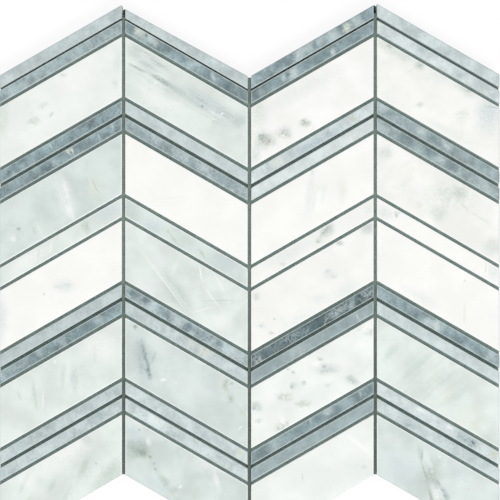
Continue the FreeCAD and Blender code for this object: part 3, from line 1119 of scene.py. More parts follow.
        Cloud((6, 3.5), (5, 4), Tint.SILVER, 0.65),
        Cloud((13, 7.5), (6, 6), Tint.SILVER, 0.75),
        Cloud((16.5, 10.5), (4.5, 4.5), Tint.SLATE, 0.55),
        Cloud((21, 11.5), (4, 5), Tint.CREAM, 0.8, -10),
        Cloud((27, 15.5), (6, 5), Tint.SILVER, 0.55),
        Cloud((-16.5, -9), (8.5, 5), Tint.SLATE, 0.7),
        Cloud((-27, -14.5), (7.5, 5), Tint.STEEL, 0.4),
        Cloud((7.5, 1), (4, 5), Tint.SLATE, 0.4),
        Cloud((33.5, 18.5), (7, 6), Tint.SLATE, 0.5),
        Cloud((8, 4), (3, 3), Tint.SLATE, 0.35),
    )),
    "grey_strip_c3_r02": GreyMarble(Tone.STORM, 0.1, (
        Cloud((-30.5, -19.5), (8.5, 5), Tint.SLATE, 0.55),
        Cloud((-11.5, -7), (4, 6.5), Tint.SILVER, 0.9, -20),
        Cloud((-17, -10), (3.5, 4), Tint.SILVER, 0.65, 0),
        Cloud((-15, -8), (2.3, 2.3), Tint.INK, 0.6),
        Cloud((4.5, 3), (11.5, 5), Tint.SLATE, 0.45),
        Cloud((12.5, 6), (2.5, 4), Tint.SILVER, 0.85, 0),
        Cloud((-30.5, -18.5), (4, 4), Tint.SILVER, 0.4),
        Cloud((22.5, 12), (11.5, 5), Tint.SLATE, 0.35),
    )),
    "white_field_c3_r03": WhiteMarble(Tone.PURE, 0.015, (
        Cloud((-29.5, -23), (12.5, 9.5), Tint.MOSS, 0.5, 0),
        Flecks((-28, -23.5), (8.5, 7.5), Tint.OLIVE, 0.6, 0.8, 0),
        Flecks((-29.5, -21.5), (5, 5), Tint.SLATE, 0.5, 0.7),
        Cloud((-31.5, -20.5), (2.3, 1.5), Tint.SLATE, 0.5, -30),
        Vein((-27, -20.5), (-25.5, -26.5), 0.9, Tint.OLIVE, 0.5, 0.8),
        Cloud((-18, -17.5), (7, 4), Tint.SMOKE, 0.35, 20),
        Cloud((-15.5, -19.5), (3, 1.9), Tint.SMOKE, 0.4, -30),
        Flecks((-16.5, -19.5), (7, 4), Tint.OLIVE, 0.5, 0.9, 0),
        Cloud((-4.5, -12.5), (5, 3.5), Tint.MOSS, 0.7, 10),
        Cloud((-5, -11.5), (2.3, 1.7), Tint.SMOKE, 0.45, -30),
        Flecks((-4.5, -13), (5, 3.5), Tint.OLIVE, 0.4, 0.9, 0),
        Cloud((-33, -6), (9.5, 17.5), Tint.MOSS, 0.5, 0),
        Cloud((-7.5, 7.5), (38.5, 7), Tint.MIST, 0.55),
        Flecks((-24.5, -29), (4, 6), Tint.SNOW, 0.9, 1, 20),
        Cloud((-34, -32), (5, 9.5), Tint.SILVER, 0.6, 0),
    )),
    "grey_strip_c3_r04": GreyMarble(Tone.OPAL, 0.05, (
        Cloud((3, -0.5), (21.5, 6), Tint.BLUE, 0.85),
        Cloud((-7.5, -4.5), (11.5, 5), Tint.BLUE, 0.5),
        Cloud((10, 5.5), (4, 3.5), Tint.PEWTER, 0.65, 0),
        Cloud((24.5, 14), (3.5, 3), Tint.OCHRE, 0.5, 0),
        Cloud((-21.5, -11.5), (7.5, 4), Tint.CREAM, 0.45),
        Cloud((16.5, 9.5), (5, 3.5), Tint.PEWTER, 0.35),
    )),
    "grey_strip_c3_r05": GreyMarble(Tone.SHELL, 0.03, (
        Cloud((-7.5, -5), (13.5, 4), Tint.SILVER, 0.3),
        Cloud((22.5, 12.5), (9.5, 4), Tint.SNOW, 0.3),
    )),
    "white_field_c3_r06": WhiteMarble(Tone.PURE, 0.01, (
        Vein((1, 19), (-4, -13.5), 4, Tint.MIST, 0.6, 1.2),
        Cloud((0, 16.5), (1.9, 3.5), Tint.MOSS, 0.4, 0),
        Vein((4, 13), (-1.5, -13.5), 1.3, Tint.MIST, 0.45, 1),
        Cloud((18, 6), (4, 10.5), Tint.CREAM, 0.5, 5),
        Cloud((5, 7), (5, 4), Tint.CREAM, 0.4, 0),
        Vein((9, 10.5), (5, -4), 1.8, Tint.MIST, 0.4, 1),
    )),
    "white_accent_c3_r07": WhiteMarble(Tone.IVORY, 0.012, (
        Flecks((9.5, 8), (7, 4), Tint.OLIVE, 0.6, 0.9, 50),
        Cloud((9, 7.5), (7.5, 6), Tint.MOSS, 0.6),
        Vein((4, 2), (11, 12), 1.3, Tint.SMOKE, 0.6, 0.9),
        Cloud((4.5, 1.5), (4, 3.5), Tint.MOSS, 0.5),
        Cloud((3.5, 0.5), (1.9, 1.7), Tint.SMOKE, 0.6, 0),
        Cloud((-12.5, -5.5), (25, 7), Tint.MIST, 0.7),
        Speck((-18, -13), (2.5, 1.8), Tint.SMOKE, 0.35, 0),
        Cloud((34, 19.5), (4, 6), Tint.MIST, 0.6, 0),
    )),
    "white_field_c3_r08": WhiteMarble(Tone.IVORY, 0.012, (
        Vein((-32, -23.5), (-30, -25), 1, Tint.SLATE, 0.7, 0.3),
        Cloud((-30.5, -24), (4, 3), Tint.MIST, 0.8, 0),
        Vein((-24, -19.5), (-22, -20.5), 0.7, Tint.SLATE, 0.6, 0.3),
        Cloud((-24.5, -28.5), (3, 1.7), Tint.MOSS, 0.7, 0),
        Cloud((11, 7), (7, 5), Tint.MIST, 0.8, 10),
        Cloud((9, 9), (3, 1.9), Tint.MOSS, 0.5),
        Cloud((13, 5.5), (3, 1.5), Tint.MOSS, 0.5, -10),
        Cloud((16.5, 26), (4, 2.5), Tint.SMOKE, 0.6, -20),
        Cloud((33.5, 35), (6, 6), Tint.SMOKE, 0.5),
        Cloud((21, -3), (14.5, 7.5), Tint.MIST, 0.6),
        Cloud((-7.5, -20.5), (17.5, 7.5), Tint.MIST, 0.5),
        Cloud((-34, -6.5), (3, 4), Tint.MOSS, 0.6, 0),
        Cloud((4.5, -7.5), (9.5, 4), Tint.MIST, 0.5, 10),
    )),
    "grey_strip_c3_r09": GreyMarble(Tone.CHARCOAL, 0.2, (
        Flecks((-27, -15.5), (15, 7.5), Tint.SILVER, 0.8, 0.8),
        Flecks((-28, -17), (13.5, 7.5), Tint.INK, 1, 0.8),
        Flecks((-33, -20.5), (5, 5), Tint.SILVER, 0.9, 0.8),
        Cloud((-5.5, -4), (13.5, 6), Tint.INK, 0.6),
        Cloud((-25.5, -15), (15.5, 5), Tint.INK, 0.4),
        Cloud((3, 2), (8.5, 6), Tint.INK, 0.8),
        Flecks((-7.5, -4.5), (17, 5), Tint.INK, 0.8, 0.8),
        Flecks((-12.5, -7), (13.5, 5), Tint.PEWTER, 0.7, 0.7),
        Vein((-2, 0), (-4, -6), 1.1, Tint.STEEL, 0.7),
        Cloud((14.5, 8), (8.5, 5), Tint.STEEL, 0.6),
        Flecks((14.5, 8.5), (13.5, 4), Tint.SILVER, 0.7, 0.6),
        Cloud((24, 13.5), (3.5, 7), Tint.PEWTER, 0.85, -15),
        Flecks((32, 17.5), (10, 6), Tint.INK, 0.9, 0.8),
        Flecks((33, 19), (8.5, 6), Tint.SILVER, 0.7, 0.8),
        Vein((19, 10.5), (21.5, 16), 0.7, Tint.SILVER, 0.5, 0.5),
        Vein((9, 5), (7, 0), 0.8, Tint.SILVER, 0.5, 0.5),
        Flecks((-7.5, -4.5), (22, 6), Tint.PEWTER, 0.35, 0.7),
        Flecks((22.5, 11.5), (10, 6), Tint.PEWTER, 0.35, 0.7),
    )),
    "grey_strip_c3_r10": GreyMarble(Tone.ASH, 0.05, (
        Cloud((-28.5, -16), (9.5, 5), Tint.STEEL, 0.5),
        Vein((26, 18), (29, 13), 0.6, Tint.SILVER, 0.8, 0.3),
        Cloud((16.5, 9.5), (11.5, 5), Tint.STEEL, 0.35),
        Cloud((-7.5, -4.5), (11.5, 5), Tint.SILVER, 0.3),
        Vein((6, 3), (7.5, -2), 0.5, Tint.SILVER, 0.35, 0.3),
        Cloud((1.5, 0), (6, 4), Tint.PEWTER, 0.4),
    )),
    "white_field_c3_r11": WhiteMarble(Tone.CHALK, 0.02, (
        Cloud((9.5, 8.5), (10.5, 5), Tint.SMOKE, 0.35, 10),
        Cloud((2, 12), (4.5, 3.5), Tint.SNOW, 1, 10),
        Cloud((4.5, 14.5), (3, 1.9), Tint.SMOKE, 0.5, -30),
        Cloud((7, 10), (2.3, 1.9), Tint.SLATE, 0.4, -30),
        Flecks((10.5, 7.5), (10, 3.5), Tint.SMOKE, 0.6, 0.9, 10),
        Cloud((-11.5, -1.5), (3, 2.5), Tint.SMOKE, 0.6),
        Cloud((-12.5, -2.5), (1.4, 1.4), Tint.SLATE, 0.5),
        Cloud((-5.5, 0), (2.3, 1.9), Tint.SMOKE, 0.6, -20),
        Cloud((-5, 1), (1.4, 1.2), Tint.SLATE, 0.4, 0),
        Cloud((-8.5, -1), (7, 4), Tint.MIST, 0.6, 10),
        Cloud((-11.5, 6.5), (1.7, 1.2), Tint.SMOKE, 0.7, 0),
        Cloud((-15, 8.5), (2.3, 1.2), Tint.SMOKE, 0.4, -30),
        Cloud((23.5, 2.5), (5, 3.5), Tint.SMOKE, 0.45, -30),
        Flecks((24.5, 1.5), (6, 4), Tint.SMOKE, 0.5, 0.9, -40),
        Cloud((32.5, 33.5), (6, 5), Tint.SNOW, 1, 0),
        Flecks((35, 30.5), (5, 3.5), Tint.SMOKE, 0.5, 0.9, 0),
        Cloud((30.5, 23.5), (4, 3.5), Tint.SNOW, 0.9, 0),
        Flecks((29, 34.5), (5, 3.5), Tint.SMOKE, 0.4, 0.8),
        Cloud((-34, -14), (4, 4.5), Tint.SMOKE, 0.35, 20),
        Cloud((-35.5, -15.5), (2.3, 1.4), Tint.SLATE, 0.35, 40),
        Flecks((-33, -14.5), (5, 5), Tint.SMOKE, 0.4, 0.9),
        Cloud((-32.5, -23), (3.5, 2.3), Tint.SMOKE, 0.4, 20),
        Cloud((9, -1.5), (3.5, 1.9), Tint.MOSS, 0.5, 10),
        Flecks((-17, -8.5), (8.5, 3.5), Tint.OLIVE, 0.5, 0.9, -10),
        Flecks((-5.5, -12.5), (7.5, 3.5), Tint.OLIVE, 0.5, 0.9, 10),
        Cloud((-7, -12.5), (4, 2.3), Tint.MOSS, 0.5, 0),
        Cloud((-18, -23), (2.5, 4.5), Tint.SNOW, 1, 10),
        Cloud((-15.5, -24.5), (1.9, 3), Tint.SMOKE, 0.35, 20),
        Cloud((16.5, 11), (13.5, 7.5), Tint.SNOW, 0.4),
        Cloud((-25.5, -7), (9.5, 7), Tint.SNOW, 0.4),
        Cloud((4.5, -5.5), (19.5, 8.5), Tint.MIST, 0.4, 20),
        Flecks((-19.5, -26.5), (5, 3.5), Tint.OLIVE, 0.7, 0.9),
    )),
    "grey_strip_c3_r12": GreyMarble(Tone.STORM, 0.09, (
        Cloud((9, 7), (6, 4), Tint.SILVER, 0.75, 20),
        Cloud((3.5, 1.5), (5, 4), Tint.SLATE, 0.6),
        Cloud((15, 8), (5, 4.5), Tint.SLATE, 0.6),
        Vein((-1.5, 4.5), (-1, -1.5), 1, Tint.SILVER, 0.6, 0.4),
        Vein((28.5, 20), (29.5, 15), 0.8, Tint.SILVER, 0.6, 0.3),
        Cloud((35.5, 21), (5, 5), Tint.SLATE, 0.5),
        Cloud((-22.5, -13.5), (8.5, 4), Tint.SILVER, 0.35),
        Cloud((22.5, 13.5), (7, 4), Tint.PEWTER, 0.5),
        Flecks((4.5, 3.5), (12, 4), Tint.SLATE, 0.5, 1),
        Cloud((-30.5, -18.5), (7, 5), Tint.SLATE, 0.3),
        Cloud((-7.5, -4), (7.5, 4), Tint.SLATE, 0.35),
    )),
    "grey_strip_c3_r13": GreyMarble(Tone.ASH, 0.045, (
        Cloud((10.5, 6), (8.5, 4), Tint.PEWTER, 0.3),
    )),
    "white_field_c3_r14": WhiteMarble(Tone.CHALK, 0.015, (
        Vein((19.5, 28), (37.5, 14.5), 2.5, Tint.SNOW, 0.9, 0.8),
        Speck((31.5, 8), (2.2, 1.8), Tint.SMOKE, 0.9, 0),
        Cloud((31.5, 8), (3, 2.3), Tint.MIST, 0.8, 0),
        Vein((-6.5, 5.5), (-5.5, -1), 0.6, Tint.SMOKE, 0.4, 0.3),
        Cloud((-10.5, 8.5), (23, 6), Tint.MIST, 0.4, 10),
        Cloud((29, 6.5), (11.5, 13.5), Tint.MIST, 0.5),
        Cloud((-30.5, -10.5), (7.5, 11.5), Tint.MIST, 0.5, 0),
        Cloud((3.5, 17), (29, 9.5), Tint.SNOW, 0.3),
    )),
    "grey_strip_c4_r01": GreyMarble(Tone.PEARL, 0.05, (
        Cloud((-17, 10), (7, 4), Tint.PEWTER, 0.45),
        Cloud((13, -4.5), (6, 5), Tint.PEWTER, 0.5),
    )),
    "grey_strip_c4_r02": GreyMarble(Tone.OPAL, 0.05, (
        Cloud((-10, 7.5), (4, 6), Tint.PEWTER, 0.55, -10),
        Cloud((13.5, -7.5), (5, 4), Tint.PEWTER, 0.55, 0),
    )),
    "white_field_c4_r03": WhiteMarble(Tone.IVORY, 0.015, (
        Cloud((-30.5, 34), (13.5, 6), Tint.MOSS, 0.6, -25),
        Cloud((-29.5, 34), (2.3, 1.5), Tint.SMOKE, 0.7),
        Cloud((-20, 27.5), (9.5, 5), Tint.MOSS, 0.5, -20),
        Cloud((-11.5, 22.5), (5, 4.5), Tint.MOSS, 0.8, 40),
        Cloud((-11, 22.5), (2.3, 1.7), Tint.SMOKE, 0.4, 0),
        Cloud((16.5, 7.5), (11.5, 5), Tint.MOSS, 0.6),
        Cloud((18.5, 7), (2.5, 1.5), Tint.SMOKE, 0.8, 0),
        Cloud((-11, -1.5), (2.3, 2.3), Tint.OCHRE, 0.35),
        Cloud((-11, -1.5), (4, 3), Tint.MOSS, 0.4, 0),
        Vein((27.5, -2.5), (37.5, -3.5), 1.1, Tint.OLIVE, 0.6),
        Cloud((31, -6), (11.5, 17.5), Tint.HAZE, 0.75, 0),
        Flecks((14.5, -7), (6, 4), Tint.OLIVE, 0.3, 0.8, 0),
        Cloud((1, -15), (15.5, 4), Tint.MIST, 0.5),
        Vein((-20, 17.5), (-14, 20), 0.5, Tint.OCHRE, 0.4),
        Cloud((1, 16), (15.5, 5), Tint.MIST, 0.6),
    )),
    "grey_strip_c4_r04": GreyMarble(Tone.ASH, 0.09, (
        Cloud((-27, 18), (7, 5), Tint.SLATE, 0.55, 0),
        Cloud((-33.5, 21.5), (5, 5), Tint.SILVER, 0.55),
        Cloud((-10.5, 6.5), (5, 4.5), Tint.SILVER, 0.7),
        Cloud((-3.5, 3.5), (5, 5), Tint.SLATE, 0.65),
        Cloud((5, -2), (7, 3), Tint.SILVER, 0.75),
        Cloud((1, -1), (4, 3), Tint.SLATE, 0.5),
        Cloud((25, -16), (9.5, 5), Tint.STEEL, 0.5),
        Flecks((-1.5, 1.5), (7, 4), Tint.SLATE, 0.4, 1),
        Cloud((-18, 10.5), (5, 4), Tint.SLATE, 0.4),
        Cloud((14.5, -8), (9.5, 4), Tint.PEWTER, 0.4),
    )),
    "grey_strip_c4_r05": GreyMarble(Tone.ASH, 0.1, (
        Cloud((-19.5, 12.5), (7.5, 5), Tint.SLATE, 0.6),
        Cloud((-5, 4), (7.5, 5), Tint.SLATE, 0.6),
        Cloud((8, -4), (6, 5), Tint.SLATE, 0.55, 0),
        Speck((15, -8), (1.2, 1.2), Tint.OCHRE, 0.5),
        Cloud((-33, 18.5), (5, 5), Tint.SILVER, 0.45),
        Cloud((29.5, -18), (9.5, 5), Tint.SILVER, 0.6),
        Cloud((1.5, -0.5), (5, 4), Tint.SILVER, 0.4),
        Cloud((-13, 8), (4, 4), Tint.SILVER, 0.3),
        Flecks((-11, 8), (17, 5), Tint.SLATE, 0.5, 0.8),
    )),
    "white_field_c4_r06": WhiteMarble(Tone.IVORY, 0.02, (
        Cloud((14.5, 3), (9.5, 7), Tint.MOSS, 0.45, -20),
        Flecks((13, 4), (7, 4), Tint.SMOKE, 0.3, 1, 0),
        Flecks((18.5, 1), (4, 10), Tint.SNOW, 1, 0.8, -20),
        Vein((13, -1), (19, -8.5), 1.1, Tint.OCHRE, 0.4, 1.5),
        Vein((18.5, -7), (32, -15.5), 1.3, Tint.CREAM, 0.8, 1.8),
        Vein((21.5, 5.5), (27.5, -3), 0.9, Tint.CREAM, 0.5, 1.5),
        Flecks((-19.5, 16.5), (7.5, 9.5), Tint.OCHRE, 0.35, 0.8, 0),
        Flecks((-21, 16), (7, 8.5), Tint.SNOW, 0.6, 0.8, 0),
        Flecks((-11.5, -3.5), (3.5, 3.5), Tint.OCHRE, 0.35, 0.9),
        Cloud((0, -9), (7.5, 7), Tint.MOSS, 0.5, 0),
        Cloud((-31.5, 28), (7, 6), Tint.MOSS, 0.5, 0),
        Speck((3.5, 7.5), (3.5, 1.8), Tint.SNOW, 1, 40),
        Flecks((7, 2.5), (22, 17), Tint.MOSS, 0.45, 1.5, 0),
        Cloud((-11, 8.5), (13.5, 8.5), Tint.SNOW, 0.4, 0),
        Cloud((32.5, -28.5), (7.5, 7.5), Tint.MOSS, 0.4),
    )),
    "white_accent_c4_r07": WhiteMarble(Tone.PURE, 0.006, (
        Cloud((-32.5, 18), (8.5, 7), Tint.MIST, 0.9),
        Cloud((-25.5, 17), (1.7, 3.5), Tint.SMOKE, 0.6, 10),
        Cloud((-24, 18), (1.9, 3), Tint.MOSS, 0.4, -20),
        Vein((29.5, -8.5), (28, -21), 0.5, Tint.SMOKE, 0.35),
        Cloud((33.5, -18), (6, 8.5), Tint.MIST, 0.8, 0),
    )),
    "white_field_c4_r08": WhiteMarble(Tone.PURE, 0.01, (
        Vein((16, -9.5), (16, -24), 1.1, Tint.OCHRE, 0.3, 0.8),
        Cloud((-11, -6.5), (17.5, 5), Tint.MIST, 0.5),
        Speck((16, 3), (1.4, 1.4), Tint.SMOKE, 0.35),
    )),
    "grey_strip_c4_r09": GreyMarble(Tone.FLINT, 0.12, (
        Cloud((-22, 12), (5, 4.5), Tint.SLATE, 0.5, 0),
        Cloud((-16, 7.5), (7.5, 5.5), Tint.SLATE, 0.6),
        Cloud((-7, 2), (6, 5), Tint.SILVER, 0.7),
        Cloud((-1, 0), (3.5, 6), Tint.CREAM, 0.7, -10),
        Cloud((-4.5, 1), (5, 4), Tint.SILVER, 0.4),
        Cloud((11, -7), (8.5, 5), Tint.SLATE, 0.6),
        Cloud((20.5, -11.5), (8.5, 4), Tint.SLATE, 0.35),
        Cloud((-28, 17), (6, 4), Tint.STEEL, 0.3, 0),
        Cloud((32, -18.5), (6, 5), Tint.SILVER, 0.35),
    )),
    "grey_strip_c4_r10": GreyMarble(Tone.PEARL, 0.04, (
        Flecks((5, -2), (2, 2), Tint.OCHRE, 0.6, 1),
        Cloud((-29.5, 18), (6, 4), Tint.PEWTER, 0.3),
    )),
    "white_field_c4_r11": WhiteMarble(Tone.MILK, 0.03, (
        Vein((-34.5, 13), (-22.5, 24.5), 4, Tint.JADE, 0.7, 1.5),
        Vein((-27.5, -3), (-2.5, 20), 4, Tint.JADE, 0.7, 1.5),
        Vein((-18.5, -9), (11, 8), 4.5, Tint.JADE, 0.6, 1.8),
        Vein((0, -15), (20.5, -0.5), 4.5, Tint.JADE, 0.6, 1.8),
        Vein((0.5, 10), (-4.5, -4), 1.3, Tint.CREAM, 0.8, 1.2),
        Flecks((22, -26), (7.5, 5), Tint.OCHRE, 0.3, 1, 30),
        Vein((16.5, -30), (30.5, -21.5), 1.1, Tint.CREAM, 0.6, 1.2),
        Cloud((4.5, -8), (13.5, 7), Tint.CREAM, 0.35, 40),
        Vein((-11, 5), (14.5, -13), 1.5, Tint.CREAM, 0.35, 2),
        Speck((29, -17.5), (1.2, 1.2), Tint.SNOW, 0.9),
        Lines((-5, 2), (42.5, 25.5), Tint.MOSS, 0.35, 1.5, 40),
        Cloud((19, -19.5), (19.5, 11.5), Tint.CREAM, 0.3, 30),
        Cloud((29, -34.5), (9.5, 7.5), Tint.MOSS, 0.4, 0),
    )),
    "grey_strip_c4_r12": GreyMarble(Tone.OPAL, 0.04, (
        Cloud((16.5, -10), (10.5, 6), Tint.STEEL, 0.6, -35),
        Flecks((20.5, -12), (6, 4), Tint.SLATE, 0.9, 1.1),
        Cloud((21, -11.5), (2.3, 1.9), Tint.INK, 0.6, 0),
        Cloud((34, -18.5), (3.5, 4), Tint.OCHRE, 0.5, 0),
        Speck((-10.5, 7.5), (4.5, 1), Tint.SNOW, 0.8),
        Speck((7, -2.5), (4.5, 1), Tint.SNOW, 0.8),
        Cloud((12, -7.5), (4, 6), Tint.PEWTER, 0.4, 30),
    )),
    "grey_strip_c4_r13": GreyMarble(Tone.PEARL, 0.05, (
        Cloud((-16, 8.5), (8.5, 5), Tint.PEWTER, 0.5),
        Flecks((-18, 9.5), (2, 2), Tint.SLATE, 0.7, 0.9),
        Cloud((-8.5, 4.5), (6, 4), Tint.PEWTER, 0.4),
    )),
    "white_field_c4_r14": WhiteMarble(Tone.SEA_MIST, 0.035, (
        Vein((-12.5, 23), (-9.5, 8.5), 2.2, Tint.SMOKE, 0.35, 1),
        Vein((-9.5, 20), (-10.5, 10), 0.7, Tint.OLIVE, 0.5, 0.8),
        Vein((-10.5, 11.5), (-6.5, -1), 0.9, Tint.OLIVE, 0.5, 0.9),
        Vein((-8.5, 18.5), (-2.5, 1.5), 2.5, Tint.FROST, 0.6, 1),
        Vein((-7.5, 8.5), (1, -9.5), 4, Tint.SMOKE, 0.4, 1.2),
        Vein((-1.5, 1.5), (5, -10.5), 1.5, Tint.SLATE, 0.5, 0.8),
        Vein((2, -2), (7, -15.5), 2.5, Tint.SLATE, 0.4, 1.2),
        Vein((-5, 1.5), (1.5, -16.5), 2.5, Tint.SNOW, 0.5, 1),
        Flecks((-4.5, 4.5), (7.5, 15), Tint.OLIVE, 0.4, 0.9, -25),
        Flecks((1, -6.5), (5, 8.5), Tint.SNOW, 0.6, 0.9, -25),
        Cloud((-23, 6.5), (15.5, 13.5), Tint.HAZE, 0.5, 0),
        Cloud((-26, 24.5), (9.5, 5), Tint.FROST, 0.4),
        Cloud((21.5, -3.5), (15.5, 9.5), Tint.FROST, 0.5),
        Speck((1, 14), (1.1, 1.1), Tint.SNOW, 0.9),
        Vein((-6.5, -3.5), (-1.5, -19), 1.3, Tint.OLIVE, 0.6, 0.9),
        Cloud((13, 6.5), (11.5, 7.5), Tint.HAZE, 0.35),
    )),
}


def choose_none() -> None:
    """Leaves no object selected, so that an operator can't reach one by accident."""
    bpy.ops.object.select_all(action="DESELECT")


def choose(piece: bpy.types.Object) -> None:
    """Selects one object alone and makes it the active one.

    Args:
        piece: The object.
    """
    choose_none()
    piece.select_set(True)
    bpy.context.view_layer.objects.active = piece


@contextmanager
def shaping(piece: bpy.types.Object) -> Iterator[None]:
    """Edit mode on one object, with nothing in its mesh selected at the start.

    Args:
        piece: The object.

    Yields:
        Nothing: the block's edits are made in edit mode.
    """
    choose(piece)
    bpy.ops.object.mode_set(mode="EDIT")
    bpy.ops.mesh.select_all(action="DESELECT")
    yield
    bpy.ops.object.mode_set(mode="OBJECT")


def pick(piece: bpy.types.Object, kind: str, test: Callable[[bmesh.types.BMVert], bool]) -> None:
    """Selects the vertices, edges or faces that pass a test, in edit mode.

    Args:
        piece: The object that is being shaped.
        kind: VERT, EDGE or FACE.
        test: Says whether one of them is wanted.
    """
    bpy.ops.mesh.select_mode(type=kind)
    bpy.ops.mesh.select_all(action="DESELECT")
    mesh = bmesh.from_edit_mesh(piece.data)
    for element in {"VERT": mesh.verts, "EDGE": mesh.edges, "FACE": mesh.faces}[kind]:
        if test(element):
            element.select_set(True)
    mesh.select_flush_mode()
    bmesh.update_edit_mesh(piece.data)


def add_block(name: str, size: Place, low: float, high: float) -> bpy.types.Object:
    """Adds a block on the middle of the plan, to be shaped further.

    Args:
        name: The new object's name.
        size: Its length along X and along Y.
        low: The height of its underside.
        high: The height of its top.

    Returns:
        The block.
    """
    choose_none()
    bpy.ops.mesh.primitive_cube_add(
        size=1.0, location=(0.0, 0.0, (low + high) / 2), scale=(size[0], size[1], high - low)
    )
    block = bpy.context.object
    block.name = name
    settle(block)
    return block


def settle(piece: bpy.types.Object) -> None:
    """Puts an object's place, turn and size into its mesh."""
    choose(piece)
    bpy.ops.object.transform_apply(location=True, rotation=True, scale=True)


def apply_all(piece: bpy.types.Object) -> None:
    """Applies every modifier of an object.

    Args:
        piece: The object.
    """
    choose(piece)
    for modifier in list(piece.modifiers):
        bpy.ops.object.modifier_apply(modifier=modifier.name)


def duplicate(piece: bpy.types.Object, name: str) -> bpy.types.Object:
    """Copies an object.

    Args:
        piece: The object.
        name: The copy's name.

    Returns:
        The copy, with a mesh of its own.
    """
    copy = piece.copy()
    copy.data = piece.data.copy()
    copy.name = copy.data.name = name
    bpy.context.collection.objects.link(copy)
    return copy


def mirror(piece: bpy.types.Object) -> None:
    """Turns an object into its mirror image about the YZ plane, with its faces still pointing outwards.

    Args:
        piece: The object.
    """
    choose(piece)
    piece.scale.x = -1.0
    settle(piece)
    with shaping(piece):
        bpy.ops.mesh.select_all(action="SELECT")
        bpy.ops.mesh.normals_make_consistent(inside=False)


def cut(piece: bpy.types.Object, place: Vector, normal: Vector, cap: bool) -> None:
    """Cuts away what lies on one side of a plane.

    Args:
        piece: The object to cut.
        place: A point of the plane.
        normal: The side that goes.
        cap: Whether the cut is closed with a face.
    """
    with shaping(piece):
        bpy.ops.mesh.select_all(action="SELECT")
        bpy.ops.mesh.bisect(plane_co=place, plane_no=normal, use_fill=cap, clear_outer=True)


def smooth(piece: bpy.types.Object, degrees: float) -> None:
    """Shades an object smooth, except across its sharper edges."""
    choose(piece)
    bpy.ops.object.shade_smooth_by_angle(angle=math.radians(degrees))


def roughen(
    piece: bpy.types.Object, name: str, grain: float, depth: float, group: str, direction: str
) -> None:
    """Presses an uneven surface inwards.

    Args:
        piece: The object.
        name: The unevenness, named for what made it.
        grain: The size of its hollows.
        depth: The depth of the deepest one.
        group: The vertex group that it is kept to.
        direction: NORMAL, or an axis.
    """
    texture = bpy.data.textures.new(name, "CLOUDS")
    texture.noise_scale = grain
    texture.noise_depth = FINER_LAYERS
    modifier = piece.modifiers.new(name, "DISPLACE")
    modifier.texture = texture
    modifier.texture_coords = "GLOBAL"
    modifier.direction = direction
    modifier.vertex_group = group
    modifier.strength = depth
    modifier.mid_level = 1.0
    apply_all(piece)
    bpy.data.textures.remove(texture)


def span(edge: bmesh.types.BMEdge, axis: int) -> float:
    """How far an edge reaches along one axis."""
    first, second = edge.verts
    return abs(first.co[axis] - second.co[axis])


def lift_to(block: bpy.types.Object, level: float) -> None:
    """Moves the selected vertices up or down the plan to a level.

    Args:
        block: The object that is being shaped.
        level: Where they go.
    """
    mesh = bmesh.from_edit_mesh(block.data)
    now = next(vert.co.y for vert in mesh.verts if vert.select)
    bpy.ops.transform.translate(value=(0.0, level - now, 0.0))


def runs_across(edge: bmesh.types.BMEdge) -> bool:
    """Whether an edge lies flat and goes straight up the plan."""
    return span(edge, X) < TOUCHING and span(edge, Z) < TOUCHING


def slanted_block(name: str, outline: Outline, step: float) -> bpy.types.Object:
    """Shapes a block with upright ends and slanted long sides, ruled into small faces.

    Args:
        name: The block's name.
        outline: Its outline.
        step: How large its faces are.

    Returns:
        The block, in the middle of the plan and with its foot at nothing.
    """
    block = add_block(name, (outline.length, outline.full_height), outline.bottom, outline.top)
    rise = outline.length * SLOPE * outline.fall.value
    with shaping(block):
        for side, height in ((-1, outline.left_height), (1, outline.right_height)):
            foot = side * rise / 2
            for edge, level in ((-1, foot), (1, foot + height)):
                pick(block, "VERT", lambda vert: vert.co.x * side > 0 < vert.co.y * edge and not vert.hide)
                lift_to(block, level)
                bpy.ops.mesh.hide(unselected=False)
        bpy.ops.mesh.reveal(select=False)
        pick(block, "EDGE", lambda edge: span(edge, X) > outline.length / 2)
        bpy.ops.mesh.subdivide(number_cuts=round(outline.length / step) - 1)
        pick(block, "EDGE", runs_across)
        bpy.ops.mesh.subdivide(number_cuts=max(LEAST_CUTS, round(outline.full_height / step) - 1))
    return block


